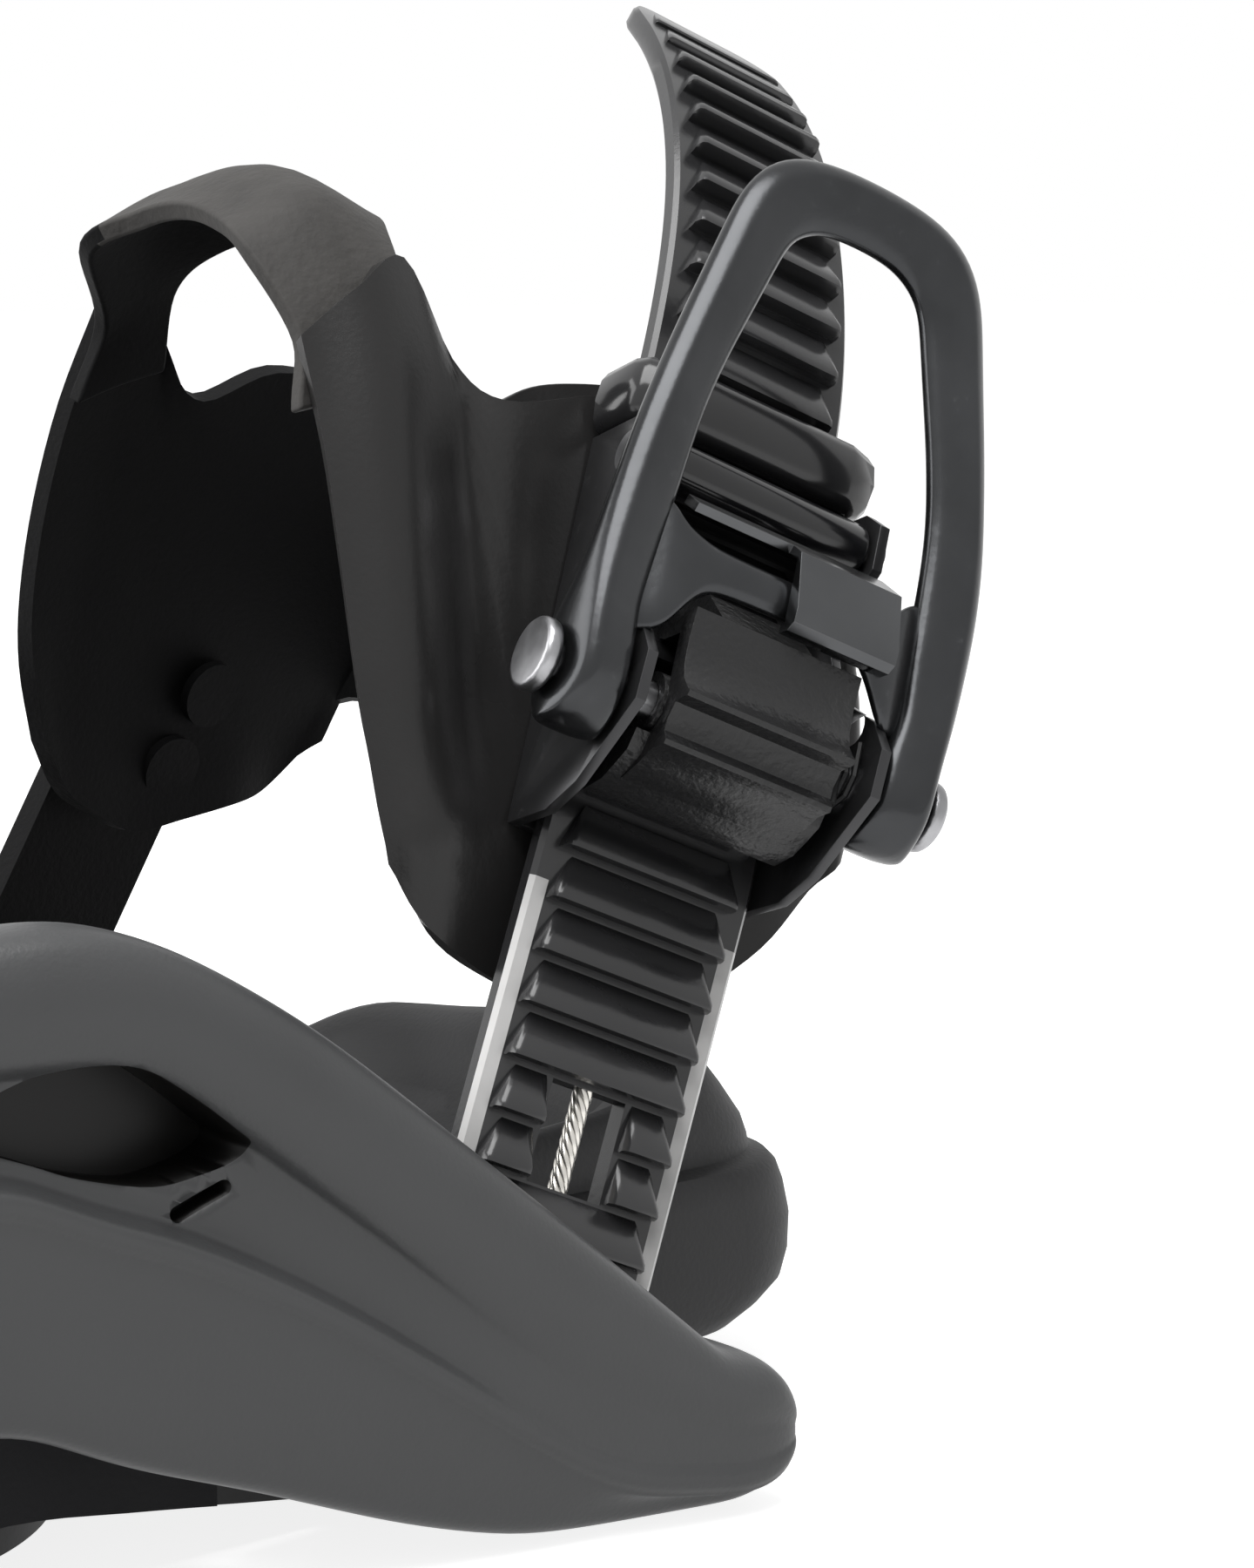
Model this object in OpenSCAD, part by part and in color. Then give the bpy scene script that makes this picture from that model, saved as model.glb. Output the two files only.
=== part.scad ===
// Toe end of a snowboard binding: base tray with its mounting disc, toe ramp,
// toe strap with cap, and the ratchet buckle that grips a toothed ladder.
// +X points to the toe, +Z up, the ladder and buckle are on the -Y side.

/* [Base tray] */
// Length of the tray behind the disc centre
tray_back = 85; // [75:1:110]
// Height of the side rails
rail_h = 65; // [58:1:72]
// Width of the footbed beside the disc
side_web = 1.6; // [1.2:0.2:4]
// Outward splay of the rails towards the toe, in degrees
splay = 9; // [6:0.5:11]
// Thickness of the rails behind the ladder slots
rail_t = 10; // [8:0.5:14]
// Thickness of the rails at the ladder slots
slot_rail_t = 17; // [16:0.5:20]
// Where the splay starts, behind the disc centre
splay_back = 20; // [10:1:30]
// Distance from the disc centre to the nose of the rails
nose_x = 84; // [80:1:95]
// Radius of the rail nose
nose_r = 7; // [5:0.5:8]
// Thickness of the tray floor
floor_t = 4; // [3:0.5:6]
// Height of the rail underside at the waist
arch_h = 20; // [12:1:22]

/* [Base pad and disc] */
// Thickness of the foam pad under the tray
pad_t = 3; // [2:0.5:5]
// Diameter of the mounting disc
disc_d = 72; // [68:1:76]
// Thickness of the disc flange
disc_flange_t = 2.5; // [2:0.5:3]
// Width of the step that carries the disc
disc_step = 3; // [2:0.5:4]
// Diameter of the disc over the spacing of the four board screws
disc_share = 1.8; // [1.7:0.05:1.9]
// Diameter of the board screw holes
disc_hole_d = 6.4; // [6:0.1:7]
// Thickness of the footbed
footbed_t = 7; // [5:0.5:9]

/* [Toe ramp] */
// Half width of the toe ramp
ramp_half = 36; // [30:1:38]
// Where the toe ramp starts
ramp_x0 = 42; // [40:1:50]
// Where the toe ramp ends
ramp_x1 = 118; // [105:1:125]
// Height of the ramp's raised lip
ramp_h = 38; // [32:1:40]

/* [Ladder] */
// Width of the ladder strip
ladder_w = 25; // [23:0.5:25.6]
// Thickness of the ladder strip
strip_t = 2.6; // [2.5:0.1:3]
// Height of the teeth above the strip
tooth_h = 2.2; // [1.8:0.1:2.4]
// Width of a tooth at its crest
crest_w = 20; // [17:0.5:21]
// Pitch of the teeth
tooth_pitch = 5.4; // [5:0.1:6]
// Angle through which the free end curls over the toe
curl_angle = 53; // [40:1:62]
// Radius of the curled end
curl_r = 68; // [60:1:80]
// Diameter of the wire rope in the ladder
rope_d = 2.1; // [1.6:0.1:2.3]
// Length of the window that shows the rope
rope_window = 10.5; // [8:0.5:12]

/* [Strap position] */
// Distance of the strap anchors from the disc centre
anchor_x = 57; // [52:1:60]
// Height of the strap anchors
anchor_z = 17; // [15:0.5:20]
// Depth of the ladder anchors inside the rails' outer faces
anchor_in = 8.9; // [8:0.1:10]
// Lean of the ladder towards the toe, in degrees
lean = 24; // [18:1:28]
// Tilt of the ladder over the foot, in degrees
tilt = 12; // [9:0.5:14]
// Further tilt of the buckle, in degrees
buckle_tilt = 6; // [3:0.5:8]
// Diameter of the strap anchor screws
anchor_d = 5; // [4:0.5:6]

/* [Buckle] */
// Sheet thickness of the buckle frame
frame_t = 1.2; // [1:0.1:1.5]
// Length of the buckle frame
frame_l = 43; // [42:0.5:44]
// Diameter of the lever pin
lever_pin_d = 4; // [3.5:0.1:4.4]
// Height of the lever pin above the ladder's back
lever_pin_k = 14; // [13.6:0.1:14.4]
// Distance of the lever pin from the buckle entry
lever_pin_b = 10.5; // [10:0.1:11]
// Diameter of the rivet heads of the lever pin
rivet_d = 7.6; // [6.5:0.1:9]
// Radius of the drive pin round the lever pin
drive_r = 6; // [5.8:0.1:6.2]
// Diameter of the drive pin
drive_pin_d = 3; // [2.6:0.1:3.2]
// Diameter of the roller
roller_d = 6; // [5:0.1:6.2]
// Diameter of the roller pin
roller_pin_d = 3; // [2:0.1:3.4]

/* [Lever] */
// Length of the lever from its pin to its top
lever_l = 60.5; // [56:0.5:66]
// Width of the lever at the pin
lever_w = 44; // [42:0.5:48]
// Width of the lever at its top
lever_top_w = 30; // [27:0.5:34]
// Width of the lever bars
bar_w = 6.4; // [5.6:0.2:7]
// Thickness of the lever
lever_t = 4.2; // [3.8:0.1:5.4]

/* [Toe cap] */
// Thickness of the toe cap
cap_t = 3; // [2.4:0.1:3.6]

/* [Hidden] */
$fn = 48;

// Clearances: running fit of a pin, loose fit of a screw, gap between moving pieces
run = 0.05;
loose = 0.2;
gap = 0.4;
eps = 0.01;
through = 200;

// Heights of the tray's layers
floor_z = pad_t;
floor_top = floor_z + floor_t;
disc_r = disc_d / 2;
plug_r = disc_r - disc_step;
skirt_t = 4;
wall_t = 2.6;
disc_pitch = disc_d / disc_share;
disc_gap = 0.8;
footbed_w = disc_r + disc_gap + side_web;
tray_half = footbed_w + gap + wall_t + skirt_t;
// The rails stand on the tray's edge by this much
rail_foot = 3;
rail_half = tray_half + rail_t - rail_foot;

// Rails: outer face of the near rail at a given x
function rail_y(x) = -rail_half - max(0, x + splay_back) * tan(splay);
anchor_y = -rail_y(anchor_x) - anchor_in;
slot_start = 18;
shoulder_x = 15;
shoulder_drop = 1.2;
slope_x = 46;
slope_z = 42.5;
heel_hole_d = 6.2;
recess_d = 3;
// The slot's inner wall starts this far inside the tray's edge
wall_from = 0.8;
heel_hole_x = -tray_back + 14;
heel_hole_gap = 22;
heel_hole_z = 40;

// Ladder: parts of its length, measured from the anchor
entry_s = 52;
ladder_h = strip_t + tooth_h;
eyelet_r = 6;
eyelet_l = 5;
slot_room = 2.2;
slot_front = 80;
straight_b = 51;
curl_l = curl_r * curl_angle * PI / 180;
first_tooth = 11;
tooth_phase = entry_s + lever_pin_b + 14.1;
tooth_reach_k = ladder_h - 1;
bend_room = 0.6;
rope_s = 17;
rope_grip = 7;
rope_k = strip_t / 2;
rope_slot_half = 4.3;

// Screws of the strap anchors and of the toe ramp
insert_d = anchor_d + 2;
insert_reach = eyelet_l / 2 + 4.7;
screw_tip_y = -anchor_y - insert_reach + 0.5;
screw_head_d = 9;
screw_head_t = 3;
screw_seat_y = -anchor_y + eyelet_l / 2 + 6;
// The ramp's upper part is narrower than its bumper, above this height
shelf_z = 25;
shelf_w = 2.5;
ramp_screw_x = 62;
ramp_screw_y = 26;
ramp_screw_d = 4.4;
ramp_head_d = 8;
ramp_screw_l = 9;

// Buckle: side plates, and points along (b) and above (k) the ladder
frame_b = -1;
floor_k = -0.3 - frame_t;
wing_k = floor_k - 0.1;
keeper_b = frame_b + frame_l + gap;
keeper_l = 7.5;
keeper_t = 2.4;
keeper_k = wing_k + 0.3;
screw_d = 4;
screw_bs = [4, 30];
rivet_bs = [2, 12];
plate_in = ladder_w / 2 + 1;
plate_out = plate_in + frame_t;
arm_in = plate_out + gap;
arm_out = lever_w / 2;
roller_b = frame_b + frame_l - 4.5;
roller_k = ladder_h + gap + roller_d / 2;
drive_a = -80;
drive_b = lever_pin_b + drive_r * cos(drive_a);
drive_k = lever_pin_k + drive_r * sin(drive_a);
lever_open = 75;
eye_r = 6.4;
lever_k = lever_pin_k + 1.9;
web_b = lever_pin_b + 11.4;
web_l = 4.4;
web_k = lever_pin_k + 4.4;
finger_in = 6.5;
finger_w = 4;
pawl_half = 10.4;
pad_half = pawl_half - gap;
pad_foot_half = pad_half + 1.6;
tooth_half = pad_half * 0.55;
tongue_w = pad_half + 2;
hold_b = lever_pin_b + 13.7;
spring_wire = 0.7;
drive_pin_half = arm_out - 1.5;

// Directions of the buckle's frame: across, along and outwards
along_0 = [sin(tilt) * sin(splay), sin(tilt) * cos(splay), cos(tilt)];
across_0 = [cos(splay), -sin(splay), 0];
out_0 = [-cos(tilt) * sin(splay), -cos(tilt) * cos(splay), sin(tilt)];
dir_p = cos(lean) * across_0 - sin(lean) * along_0;
dir_q = sin(lean) * across_0 + cos(lean) * along_0;
dir_b = cos(buckle_tilt) * dir_q - sin(buckle_tilt) * out_0;
dir_k = cos(buckle_tilt) * out_0 + sin(buckle_tilt) * dir_q;
entry = [anchor_x, -anchor_y, anchor_z] + entry_s * dir_q - ladder_h / 2 * out_0;
function in_world(p, b, k) = entry + p * dir_p + b * dir_b + k * dir_k;

// Toe cap: the near wing lies flat under the buckle, and its lines run from the lower
// to the upper edge, each with the two ends as (p, b), from the heel to the toe
wing_lines = [[[-26, -9], [-48, 40]], [[-17, -14.5], [-40, 52]], [[-8, -16], [-26, 42]], [[4, -15], [-15, 48]],
  [[15, -8], [3, 52]], [[22, 5], [14, 48]], [[27, 12], [20, 42]]];
// The far wing is shorter at its lower heel corner
far_lines = [[[-21, -2], [-44, 46]], [[-12, -7], [-38, 52]], [[-3, -7], [-25, 42]], [[7, -2], [-15, 49]],
  [[17, 5], [0, 52]], [[21, 12], [12, 48]], [[24, 19], [19, 42]]];
wing_bend = 40;
wing_r = 70;
function wing_point(p, b) = in_world(p, b, wing_k - pow(max(0, b - wing_bend), 2) / (2 * wing_r));
function wing_line(e) = [for (j = [0:4]) let (q = e[0] + (e[1] - e[0]) * j / 4) wing_point(q[0], q[1])];
front_rows = [
  [[124, -24, 65], [126, -23, 72], [127, -22, 79], [127, -21, 85], [126, -21, 87]],
  [[128, 0, 64], [130, 0, 70], [131, 0, 76], [131, 0, 81], [130, 0, 83]]];
cup_rows = concat([for (e = wing_lines) wing_line(e)], front_rows);
far_rows = concat([for (e = far_lines) wing_line(e)], front_rows);
// Upper band: from behind the near wing to the crown, each line from the toe side to the heel side
function under_wing(p, b) = wing_point(p, b) - cap_t / 2 * dir_k;
band_rows = [
  [under_wing(-32, 38), under_wing(-39, 34), under_wing(-44, 30)],
  [under_wing(-38, 49), under_wing(-43, 44), under_wing(-47, 39)],
  [[72, -15, 126], [63, -15, 129], [54, -15, 126]],
  [[77, 0, 128], [66, 0, 134], [56, 0, 130]]];

// Frames of the near strap: p across, then along the ladder, then outwards
module in_strap() {
  translate([anchor_x, -anchor_y, anchor_z])
    rotate([90 - tilt, 0, -splay]) rotate([0, 0, -lean]) children();
}
// The buckle's frame starts at its entry, on the ladder's back
module in_buckle() {
  in_strap() translate([0, entry_s, -ladder_h / 2]) rotate([-buckle_tilt, 0, 0]) children();
}
module far() {
  mirror([0, 1, 0]) children();
}
module both_sides() {
  children();
  far() children();
}
// An outline drawn in (b, k), drawn out across the buckle from p0 to p1
module across(p0, p1) {
  translate([p0, 0, 0]) rotate([90, 0, 90]) linear_extrude(p1 - p0) children();
}
// A pin along p through the point (b, k)
module pin(b, k, d, p0, p1) {
  translate([p0, b, k]) rotate([0, 90, 0]) cylinder(d = d, h = p1 - p0);
}
// A cylinder along y
module bar_y(x, z, d, y0, y1) {
  translate([x, y0, z]) rotate([-90, 0, 0]) cylinder(d = d, h = y1 - y0);
}
// An outline drawn in (x, z), drawn out along y
module along_y(y0, y1) {
  translate([0, y1, 0]) rotate([90, 0, 0]) linear_extrude(y1 - y0) children();
}

// Smooth curve through points, n steps for each span
function cr(a, b, c, d, t) =
  0.5 * (2 * b + (c - a) * t + (2 * a - 5 * b + 4 * c - d) * t * t + (3 * b - a - 3 * c + d) * t * t * t);
function curve(p, n) = let (m = len(p) - 1) concat(
  [for (i = [0:m - 1]) for (j = [0:n - 1])
    cr(i > 0 ? p[i - 1] : 2 * p[0] - p[1], p[i], p[i + 1],
      i < m - 1 ? p[i + 2] : 2 * p[m] - p[m - 1], j / n)], [p[m]]);
function column(g, j) = [for (r = g) r[j]];
function turned(g) = [for (j = [0:len(g[0]) - 1]) column(g, j)];
function smooth_grid(g, n, m) = turned([for (c = turned([for (r = g) curve(r, m)])) curve(c, n)]);
function mirrored_row(r) = [for (q = r) [q[0], -q[1], q[2]]];
function mirrored_grid(g, far) = concat(g, [for (i = [len(g) - 2:-1:0]) mirrored_row(far[i])]);
function unit(v) = v / norm(v);
function normal_at(g, i, j) = let (r = len(g) - 1, c = len(g[0]) - 1)
  unit(cross(g[min(i + 1, r)][j] - g[max(i - 1, 0)][j], g[i][min(j + 1, c)] - g[i][max(j - 1, 0)]));

// A sheet of even thickness over a grid of points, on the side that the normals point away from
module sheet(g, t) {
  r = len(g);
  c = len(g[0]);
  n = r * c;
  outer = [for (i = [0:r - 1]) for (j = [0:c - 1]) g[i][j]];
  inner = [for (i = [0:r - 1]) for (j = [0:c - 1]) g[i][j] - t * normal_at(g, i, j)];
  function at(i, j) = i * c + j;
  quads = concat(
    [for (i = [0:r - 2]) for (j = [0:c - 2]) [at(i, j), at(i, j + 1), at(i + 1, j + 1), at(i + 1, j)]],
    [for (i = [0:r - 2]) for (j = [0:c - 2])
      [n + at(i, j), n + at(i + 1, j), n + at(i + 1, j + 1), n + at(i, j + 1)]],
    [for (i = [0:r - 2]) [at(i, 0), at(i + 1, 0), n + at(i + 1, 0), n + at(i, 0)]],
    [for (i = [0:r - 2]) [at(i + 1, c - 1), at(i, c - 1), n + at(i, c - 1), n + at(i + 1, c - 1)]],
    [for (j = [0:c - 2]) [at(0, j + 1), at(0, j), n + at(0, j), n + at(0, j + 1)]],
    [for (j = [0:c - 2]) [at(r - 1, j), at(r - 1, j + 1), n + at(r - 1, j + 1), n + at(r - 1, j)]]);
  polyhedron(concat(outer, inner), [for (q = quads) each [[q[0], q[1], q[2]], [q[0], q[2], q[3]]]]);
}

// Base tray

module rail_profile() {
  polygon([[-tray_back, arch_h], [0, arch_h], [27, 10], [43, 4], [nose_x - 28, 1],
    [nose_x - nose_r, 0.5], [nose_x - 3, 13], [slope_x, slope_z], [30, 55.3],
    [shoulder_x, rail_h - shoulder_drop], [8, rail_h], [-tray_back, rail_h]]);
  translate([nose_x - nose_r, nose_r + 0.5]) circle(nose_r);
}
module rail_plan() {
  polygon([[-tray_back, rail_y(-tray_back)], [-splay_back, rail_y(-splay_back)], [nose_x, rail_y(nose_x)],
    [nose_x, rail_y(nose_x) + slot_rail_t], [slot_start, rail_y(slot_start) + slot_rail_t],
    [slot_start - 10, rail_y(slot_start - 10) + rail_t], [-splay_back, rail_y(-splay_back) + rail_t],
    [-tray_back, rail_y(-tray_back) + rail_t]]);
}
// The rail's outer face: x along the rail from the splay's start, z up
module on_rail_face() {
  translate([0, rail_y(0), 0]) rotate([0, 0, -splay]) children();
}
module leaf_window() {
  leaf_r = 19.3;
  leaf_h = 6;
  translate([12, 46]) intersection() {
    translate([0, leaf_h - leaf_r]) circle(leaf_r);
    translate([0, leaf_r - leaf_h]) circle(leaf_r);
  }
}
module side_recess() {
  polygon([[-tray_back, 55], [8, 55], [28, 45], [42, 35], [50, 26.5], [48, 21.5], [44, 22], [30, 29], [1, 45.5],
    [-tray_back, 45.5]]);
}
module small_slot() {
  for (e = [[18.7, 38.3], [26.3, 41.4]]) translate(e) circle(1.4);
  translate([22.5, 39.85]) rotate(22) square([8.2, 2.8], center = true);
}
// The slot that the ladder stands in, parallel to the ladder
module ladder_slot() {
  slot_w = ladder_h + 2 * slot_room;
  difference() {
    translate([anchor_x, -anchor_y, anchor_z]) rotate([90 - tilt, 0, -splay])
      translate([slot_start - anchor_x + 4, -8, -slot_w / 2])
        cube([slot_front - slot_start - 4, through, slot_w]);
    on_rail_face() translate([-through, -through, -through]) cube([2 * through, through + 2.6, 2 * through]);
  }
}
module rail_block() {
  intersection() {
    linear_extrude(through) rail_plan();
    along_y(-through, 0) rail_profile();
  }
}
// The slot's inner wall, which stands on the tray's edge behind the anchor
module slot_wall() {
  back = -tray_half + wall_from;
  foot_x = 30;
  intersection() {
    linear_extrude(through) polygon([[slot_start - 4, back], [anchor_x - 7, back], [anchor_x + 5, back - 5],
      [nose_x - 6, back - 10], [nose_x - 6, back - 10 + wall_t], [anchor_x + 5, back - 5 + wall_t],
      [anchor_x - 7, back + wall_t], [slot_start - 4, back + wall_t]]);
    along_y(-through, 0) intersection() {
      translate([0, -0.6]) rail_profile();
      polygon([[0, arch_h + eps], [foot_x, arch_h + eps], [foot_x, floor_z], [nose_x, floor_z],
        [nose_x, rail_h], [0, rail_h]]);
    }
  }
}
module rail() {
  difference() {
    union() {
      difference() {
        rail_block();
        ladder_slot();
      }
      slot_wall();
    }
    on_rail_face() {
      along_y(-eps - 5, recess_d) side_recess();
      along_y(-5, 6.5) leaf_window();
      along_y(-5, 6) small_slot();
    }
    bar_y(anchor_x, anchor_z, anchor_d + 2 * loose, -anchor_y, 0);
    bar_y(anchor_x, anchor_z, insert_d, -anchor_y - insert_reach, -anchor_y);
    bar_y(anchor_x, anchor_z, screw_head_d + 2 * gap, screw_seat_y, 0);
    for (i = [0, 1])
      bar_y(heel_hole_x + i * heel_hole_gap, heel_hole_z, heel_hole_d, -through, 0);
  }
}

module tray_plan(inset) {
  half = tray_half - inset;
  polygon([for (m = [-1, 1]) each let (p = [[-tray_back + inset, half], [12, half], [46, half + 6],
    [nose_x - 10 - inset, half + 10]]) m < 0 ? [for (q = p) [q[0], -q[1]]] : [for (i = [3:-1:0]) p[i]]]);
}
module chassis() {
  color("#48494b") difference() {
    union() {
      both_sides() rail();
      translate([0, 0, floor_z]) linear_extrude(floor_t) tray_plan(skirt_t);
      translate([0, 0, floor_z]) linear_extrude(arch_h + 4 - floor_z) difference() {
        intersection() {
          tray_plan(skirt_t);
          translate([-tray_back, -through / 2]) square([tray_back + 30, through]);
        }
        tray_plan(skirt_t + wall_t);
      }
      translate([0, 0, arch_h]) linear_extrude(5) difference() {
        intersection() {
          tray_plan(0.8);
          translate([-tray_back + 2, -through / 2]) square([tray_back + 20, through]);
        }
        tray_plan(skirt_t + wall_t);
      }
    }
    translate([0, 0, floor_z - eps]) cylinder(r = plug_r + loose, h = floor_t + 1, $fn = 96);
    both_sides() bar_y(anchor_x, anchor_z, screw_head_d + 2 * gap, screw_seat_y, -ramp_half);
    for (m = [-1, 1])
      translate([ramp_screw_x, m * ramp_screw_y, 0]) cylinder(d = ramp_screw_d, h = floor_top + 1);
  }
}
module base_pad() {
  color("#161617") difference() {
    union() {
      linear_extrude(pad_t) tray_plan(0);
      linear_extrude(arch_h - gap) difference() {
        intersection() {
          tray_plan(0);
          translate([-tray_back, -through / 2]) square([tray_back + 27, through]);
        }
        tray_plan(skirt_t);
      }
    }
    translate([0, 0, -eps]) cylinder(r = plug_r + 2, h = pad_t + 1, $fn = 96);
    both_sides() rail_block();
    for (m = [-1, 1])
      translate([ramp_screw_x, m * ramp_screw_y, -eps]) cylinder(d = ramp_head_d + 2 * gap, h = pad_t + 1);
  }
}
module mounting_disc() {
  color("#2c2d2f") difference() {
    union() {
      cylinder(r = plug_r, h = floor_top, $fn = 96);
      translate([0, 0, floor_top]) cylinder(r = disc_r, h = disc_flange_t, $fn = 96);
    }
    for (x = [-1, 1]) for (y = [-1, 1]) translate([x * disc_pitch / 2, y * disc_pitch / 2, -1])
      cylinder(d = disc_hole_d, h = floor_top + disc_flange_t + 2);
    translate([0, 0, floor_top + disc_flange_t - 1]) difference() {
      cylinder(r = disc_pitch * 0.35, h = 2);
      cylinder(r = disc_pitch * 0.225, h = 2);
    }
  }
}
module footbed() {
  color("#1d1d1f") difference() {
    translate([-tray_back + skirt_t + wall_t + gap, -footbed_w, floor_top])
      cube([tray_back - skirt_t - wall_t - gap + ramp_x0 - gap, 2 * footbed_w, footbed_t]);
    translate([0, 0, floor_top - eps]) cylinder(r = disc_r + disc_gap, h = footbed_t + 1, $fn = 96);
    for (x = [-70:6:-42]) translate([x, -footbed_w - 1, floor_top + footbed_t - 1.2])
      cube([2.4, 2 * footbed_w + 2, 2]);
  }
}

module ramp_profile() {
  lip = 14;
  polygon([[ramp_x0, floor_top], [ramp_x0, ramp_h - 8], [ramp_x1 - 30, ramp_h - 5], [ramp_x1 - lip, ramp_h],
    [ramp_x1 - 9, ramp_h - 3], [ramp_x1 - 3, ramp_h - 11], [ramp_x1, 18], [ramp_x1 - 1, 11],
    [ramp_x1 - 8, 5.5], [nose_x, floor_top]]);
}
module ramp_plan(half) {
  corner = 12;
  translate([ramp_x0, -half]) square([ramp_x1 - ramp_x0 - corner, 2 * half]);
  translate([ramp_x0, -half + corner]) square([ramp_x1 - ramp_x0, 2 * (half - corner)]);
  for (m = [-1, 1]) translate([ramp_x1 - corner, m * (half - corner)]) circle(corner);
}
module toe_ramp() {
  rim = 6;
  dish = 9;
  color("#232426") difference() {
    intersection() {
      along_y(-ramp_half, ramp_half) ramp_profile();
      union() {
        linear_extrude(through) ramp_plan(ramp_half - shelf_w);
        linear_extrude(shelf_z) ramp_plan(ramp_half);
      }
    }
    translate([ramp_x0 + rim, -ramp_half + rim, ramp_h - 5 - dish])
      cube([ramp_x1 - ramp_x0 - 14 - 2 * rim, 2 * (ramp_half - rim), through]);
    for (m = [-1, 1]) translate([ramp_screw_x, m * ramp_screw_y, 0])
      cylinder(d = ramp_screw_d - 2 * loose, h = floor_z + ramp_screw_l + 0.5);
  }
}
module ramp_screws() {
  head_t = 2;
  color("#8f9296") for (m = [-1, 1]) translate([ramp_screw_x, m * ramp_screw_y, floor_z - head_t]) {
    cylinder(d = ramp_head_d, h = head_t);
    cylinder(d = ramp_screw_d - 2 * loose, h = head_t + ramp_screw_l);
  }
}

// Strap anchors

module anchor_screws() {
  color("#8f9296") both_sides() difference() {
    union() {
      bar_y(anchor_x, anchor_z, anchor_d, screw_tip_y, screw_seat_y);
      bar_y(anchor_x, anchor_z, screw_head_d, screw_seat_y, screw_seat_y + screw_head_t);
    }
    translate([anchor_x, screw_seat_y + screw_head_t - 1.8, anchor_z])
      rotate([-90, 0, 0]) cylinder(d = 4.6, h = 3, $fn = 6);
  }
}
module anchor_inserts() {
  color("#b08d57") both_sides() difference() {
    bar_y(anchor_x, anchor_z, insert_d, -anchor_y - insert_reach, -anchor_y - eyelet_l / 2 - 3 * gap);
    bar_y(anchor_x, anchor_z, anchor_d, screw_tip_y, -anchor_y);
  }
}

// Ladder

module ladder_section() {
  polygon([[-ladder_w / 2, 0], [ladder_w / 2, 0], [ladder_w / 2, strip_t - 0.4], [crest_w / 2, ladder_h],
    [-crest_w / 2, ladder_h], [-ladder_w / 2, strip_t - 0.4]]);
}
// Places children at length s along the ladder: straight, tilted in the buckle, then curled
module at_length(s) {
  b = s - entry_s;
  turn = (b - straight_b) / curl_r * 180 / PI;
  if (b <= 0)
    translate([0, s, 0]) children();
  else translate([0, entry_s, 0]) rotate([-buckle_tilt, 0, 0])
    if (b <= straight_b)
      translate([0, b, 0]) children();
    else translate([0, straight_b, -curl_r]) rotate([-turn, 0, 0]) translate([0, 0, curl_r]) children();
}
// The round foot of a strap, square to the anchor screw
module square_to_anchor() {
  rotate([0, 0, lean]) rotate([tilt, 0, 0]) rotate([0, splay, 0]) children();
}
module eyelet() {
  square_to_anchor() translate([0, 0, -eyelet_l / 2]) cylinder(r = eyelet_r, h = eyelet_l);
}
module eyelet_bore() {
  square_to_anchor() translate([0, 0, -through / 2]) cylinder(d = anchor_d + 2 * run, h = through);
}
module tooth_notch() {
  crest = 0.7;
  valley = 0.4;
  across(-ladder_w, ladder_w) polygon([[crest - tooth_pitch, ladder_h], [-valley, strip_t], [0, strip_t],
    [0, 9], [crest - tooth_pitch, 9]]);
}
module ladder_blank() {
  rotate([-90, 0, 0]) mirror([0, 1, 0]) linear_extrude(entry_s + bend_room) ladder_section();
  translate([0, entry_s, 0]) rotate([-buckle_tilt, 0, 0]) {
    rotate([-90, 0, 0]) mirror([0, 1, 0]) linear_extrude(straight_b) ladder_section();
    translate([0, straight_b, -curl_r]) rotate([0, -90, 0]) rotate_extrude(angle = curl_angle, $fn = 180)
      translate([curl_r, 0]) rotate(90) mirror([0, 1]) ladder_section();
  }
}
module ladder() {
  tip_s = entry_s + straight_b + curl_l;
  teeth = floor((tip_s - tooth_phase) / tooth_pitch) - 1;
  below = floor((tooth_phase - first_tooth) / tooth_pitch);
  color("#131314") in_strap() translate([0, 0, -ladder_h / 2]) difference() {
    union() {
      ladder_blank();
      translate([0, 0, ladder_h / 2]) eyelet();
    }
    for (i = [-below:teeth]) at_length(tooth_phase + i * tooth_pitch) tooth_notch();
    translate([0, 0, ladder_h / 2]) eyelet_bore();
    rope_slot();
    rope_bore();
  }
}
module rope_slot() {
  translate([-rope_slot_half, rope_s, -1]) cube([2 * rope_slot_half, rope_window, ladder_h + 2]);
}
module rope_bore() {
  translate([0, rope_s - rope_grip, rope_k]) rotate([-90, 0, 0])
    cylinder(d = rope_d + 2 * run, h = rope_window + 2 * rope_grip);
}
module cable() {
  color("#c9c9c6") in_strap() translate([0, rope_s - rope_grip, rope_k - ladder_h / 2])
    rotate([-90, 0, 0]) cylinder(d = rope_d, h = rope_window + 2 * rope_grip);
}

// Toe cap and the strap on the far side

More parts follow.
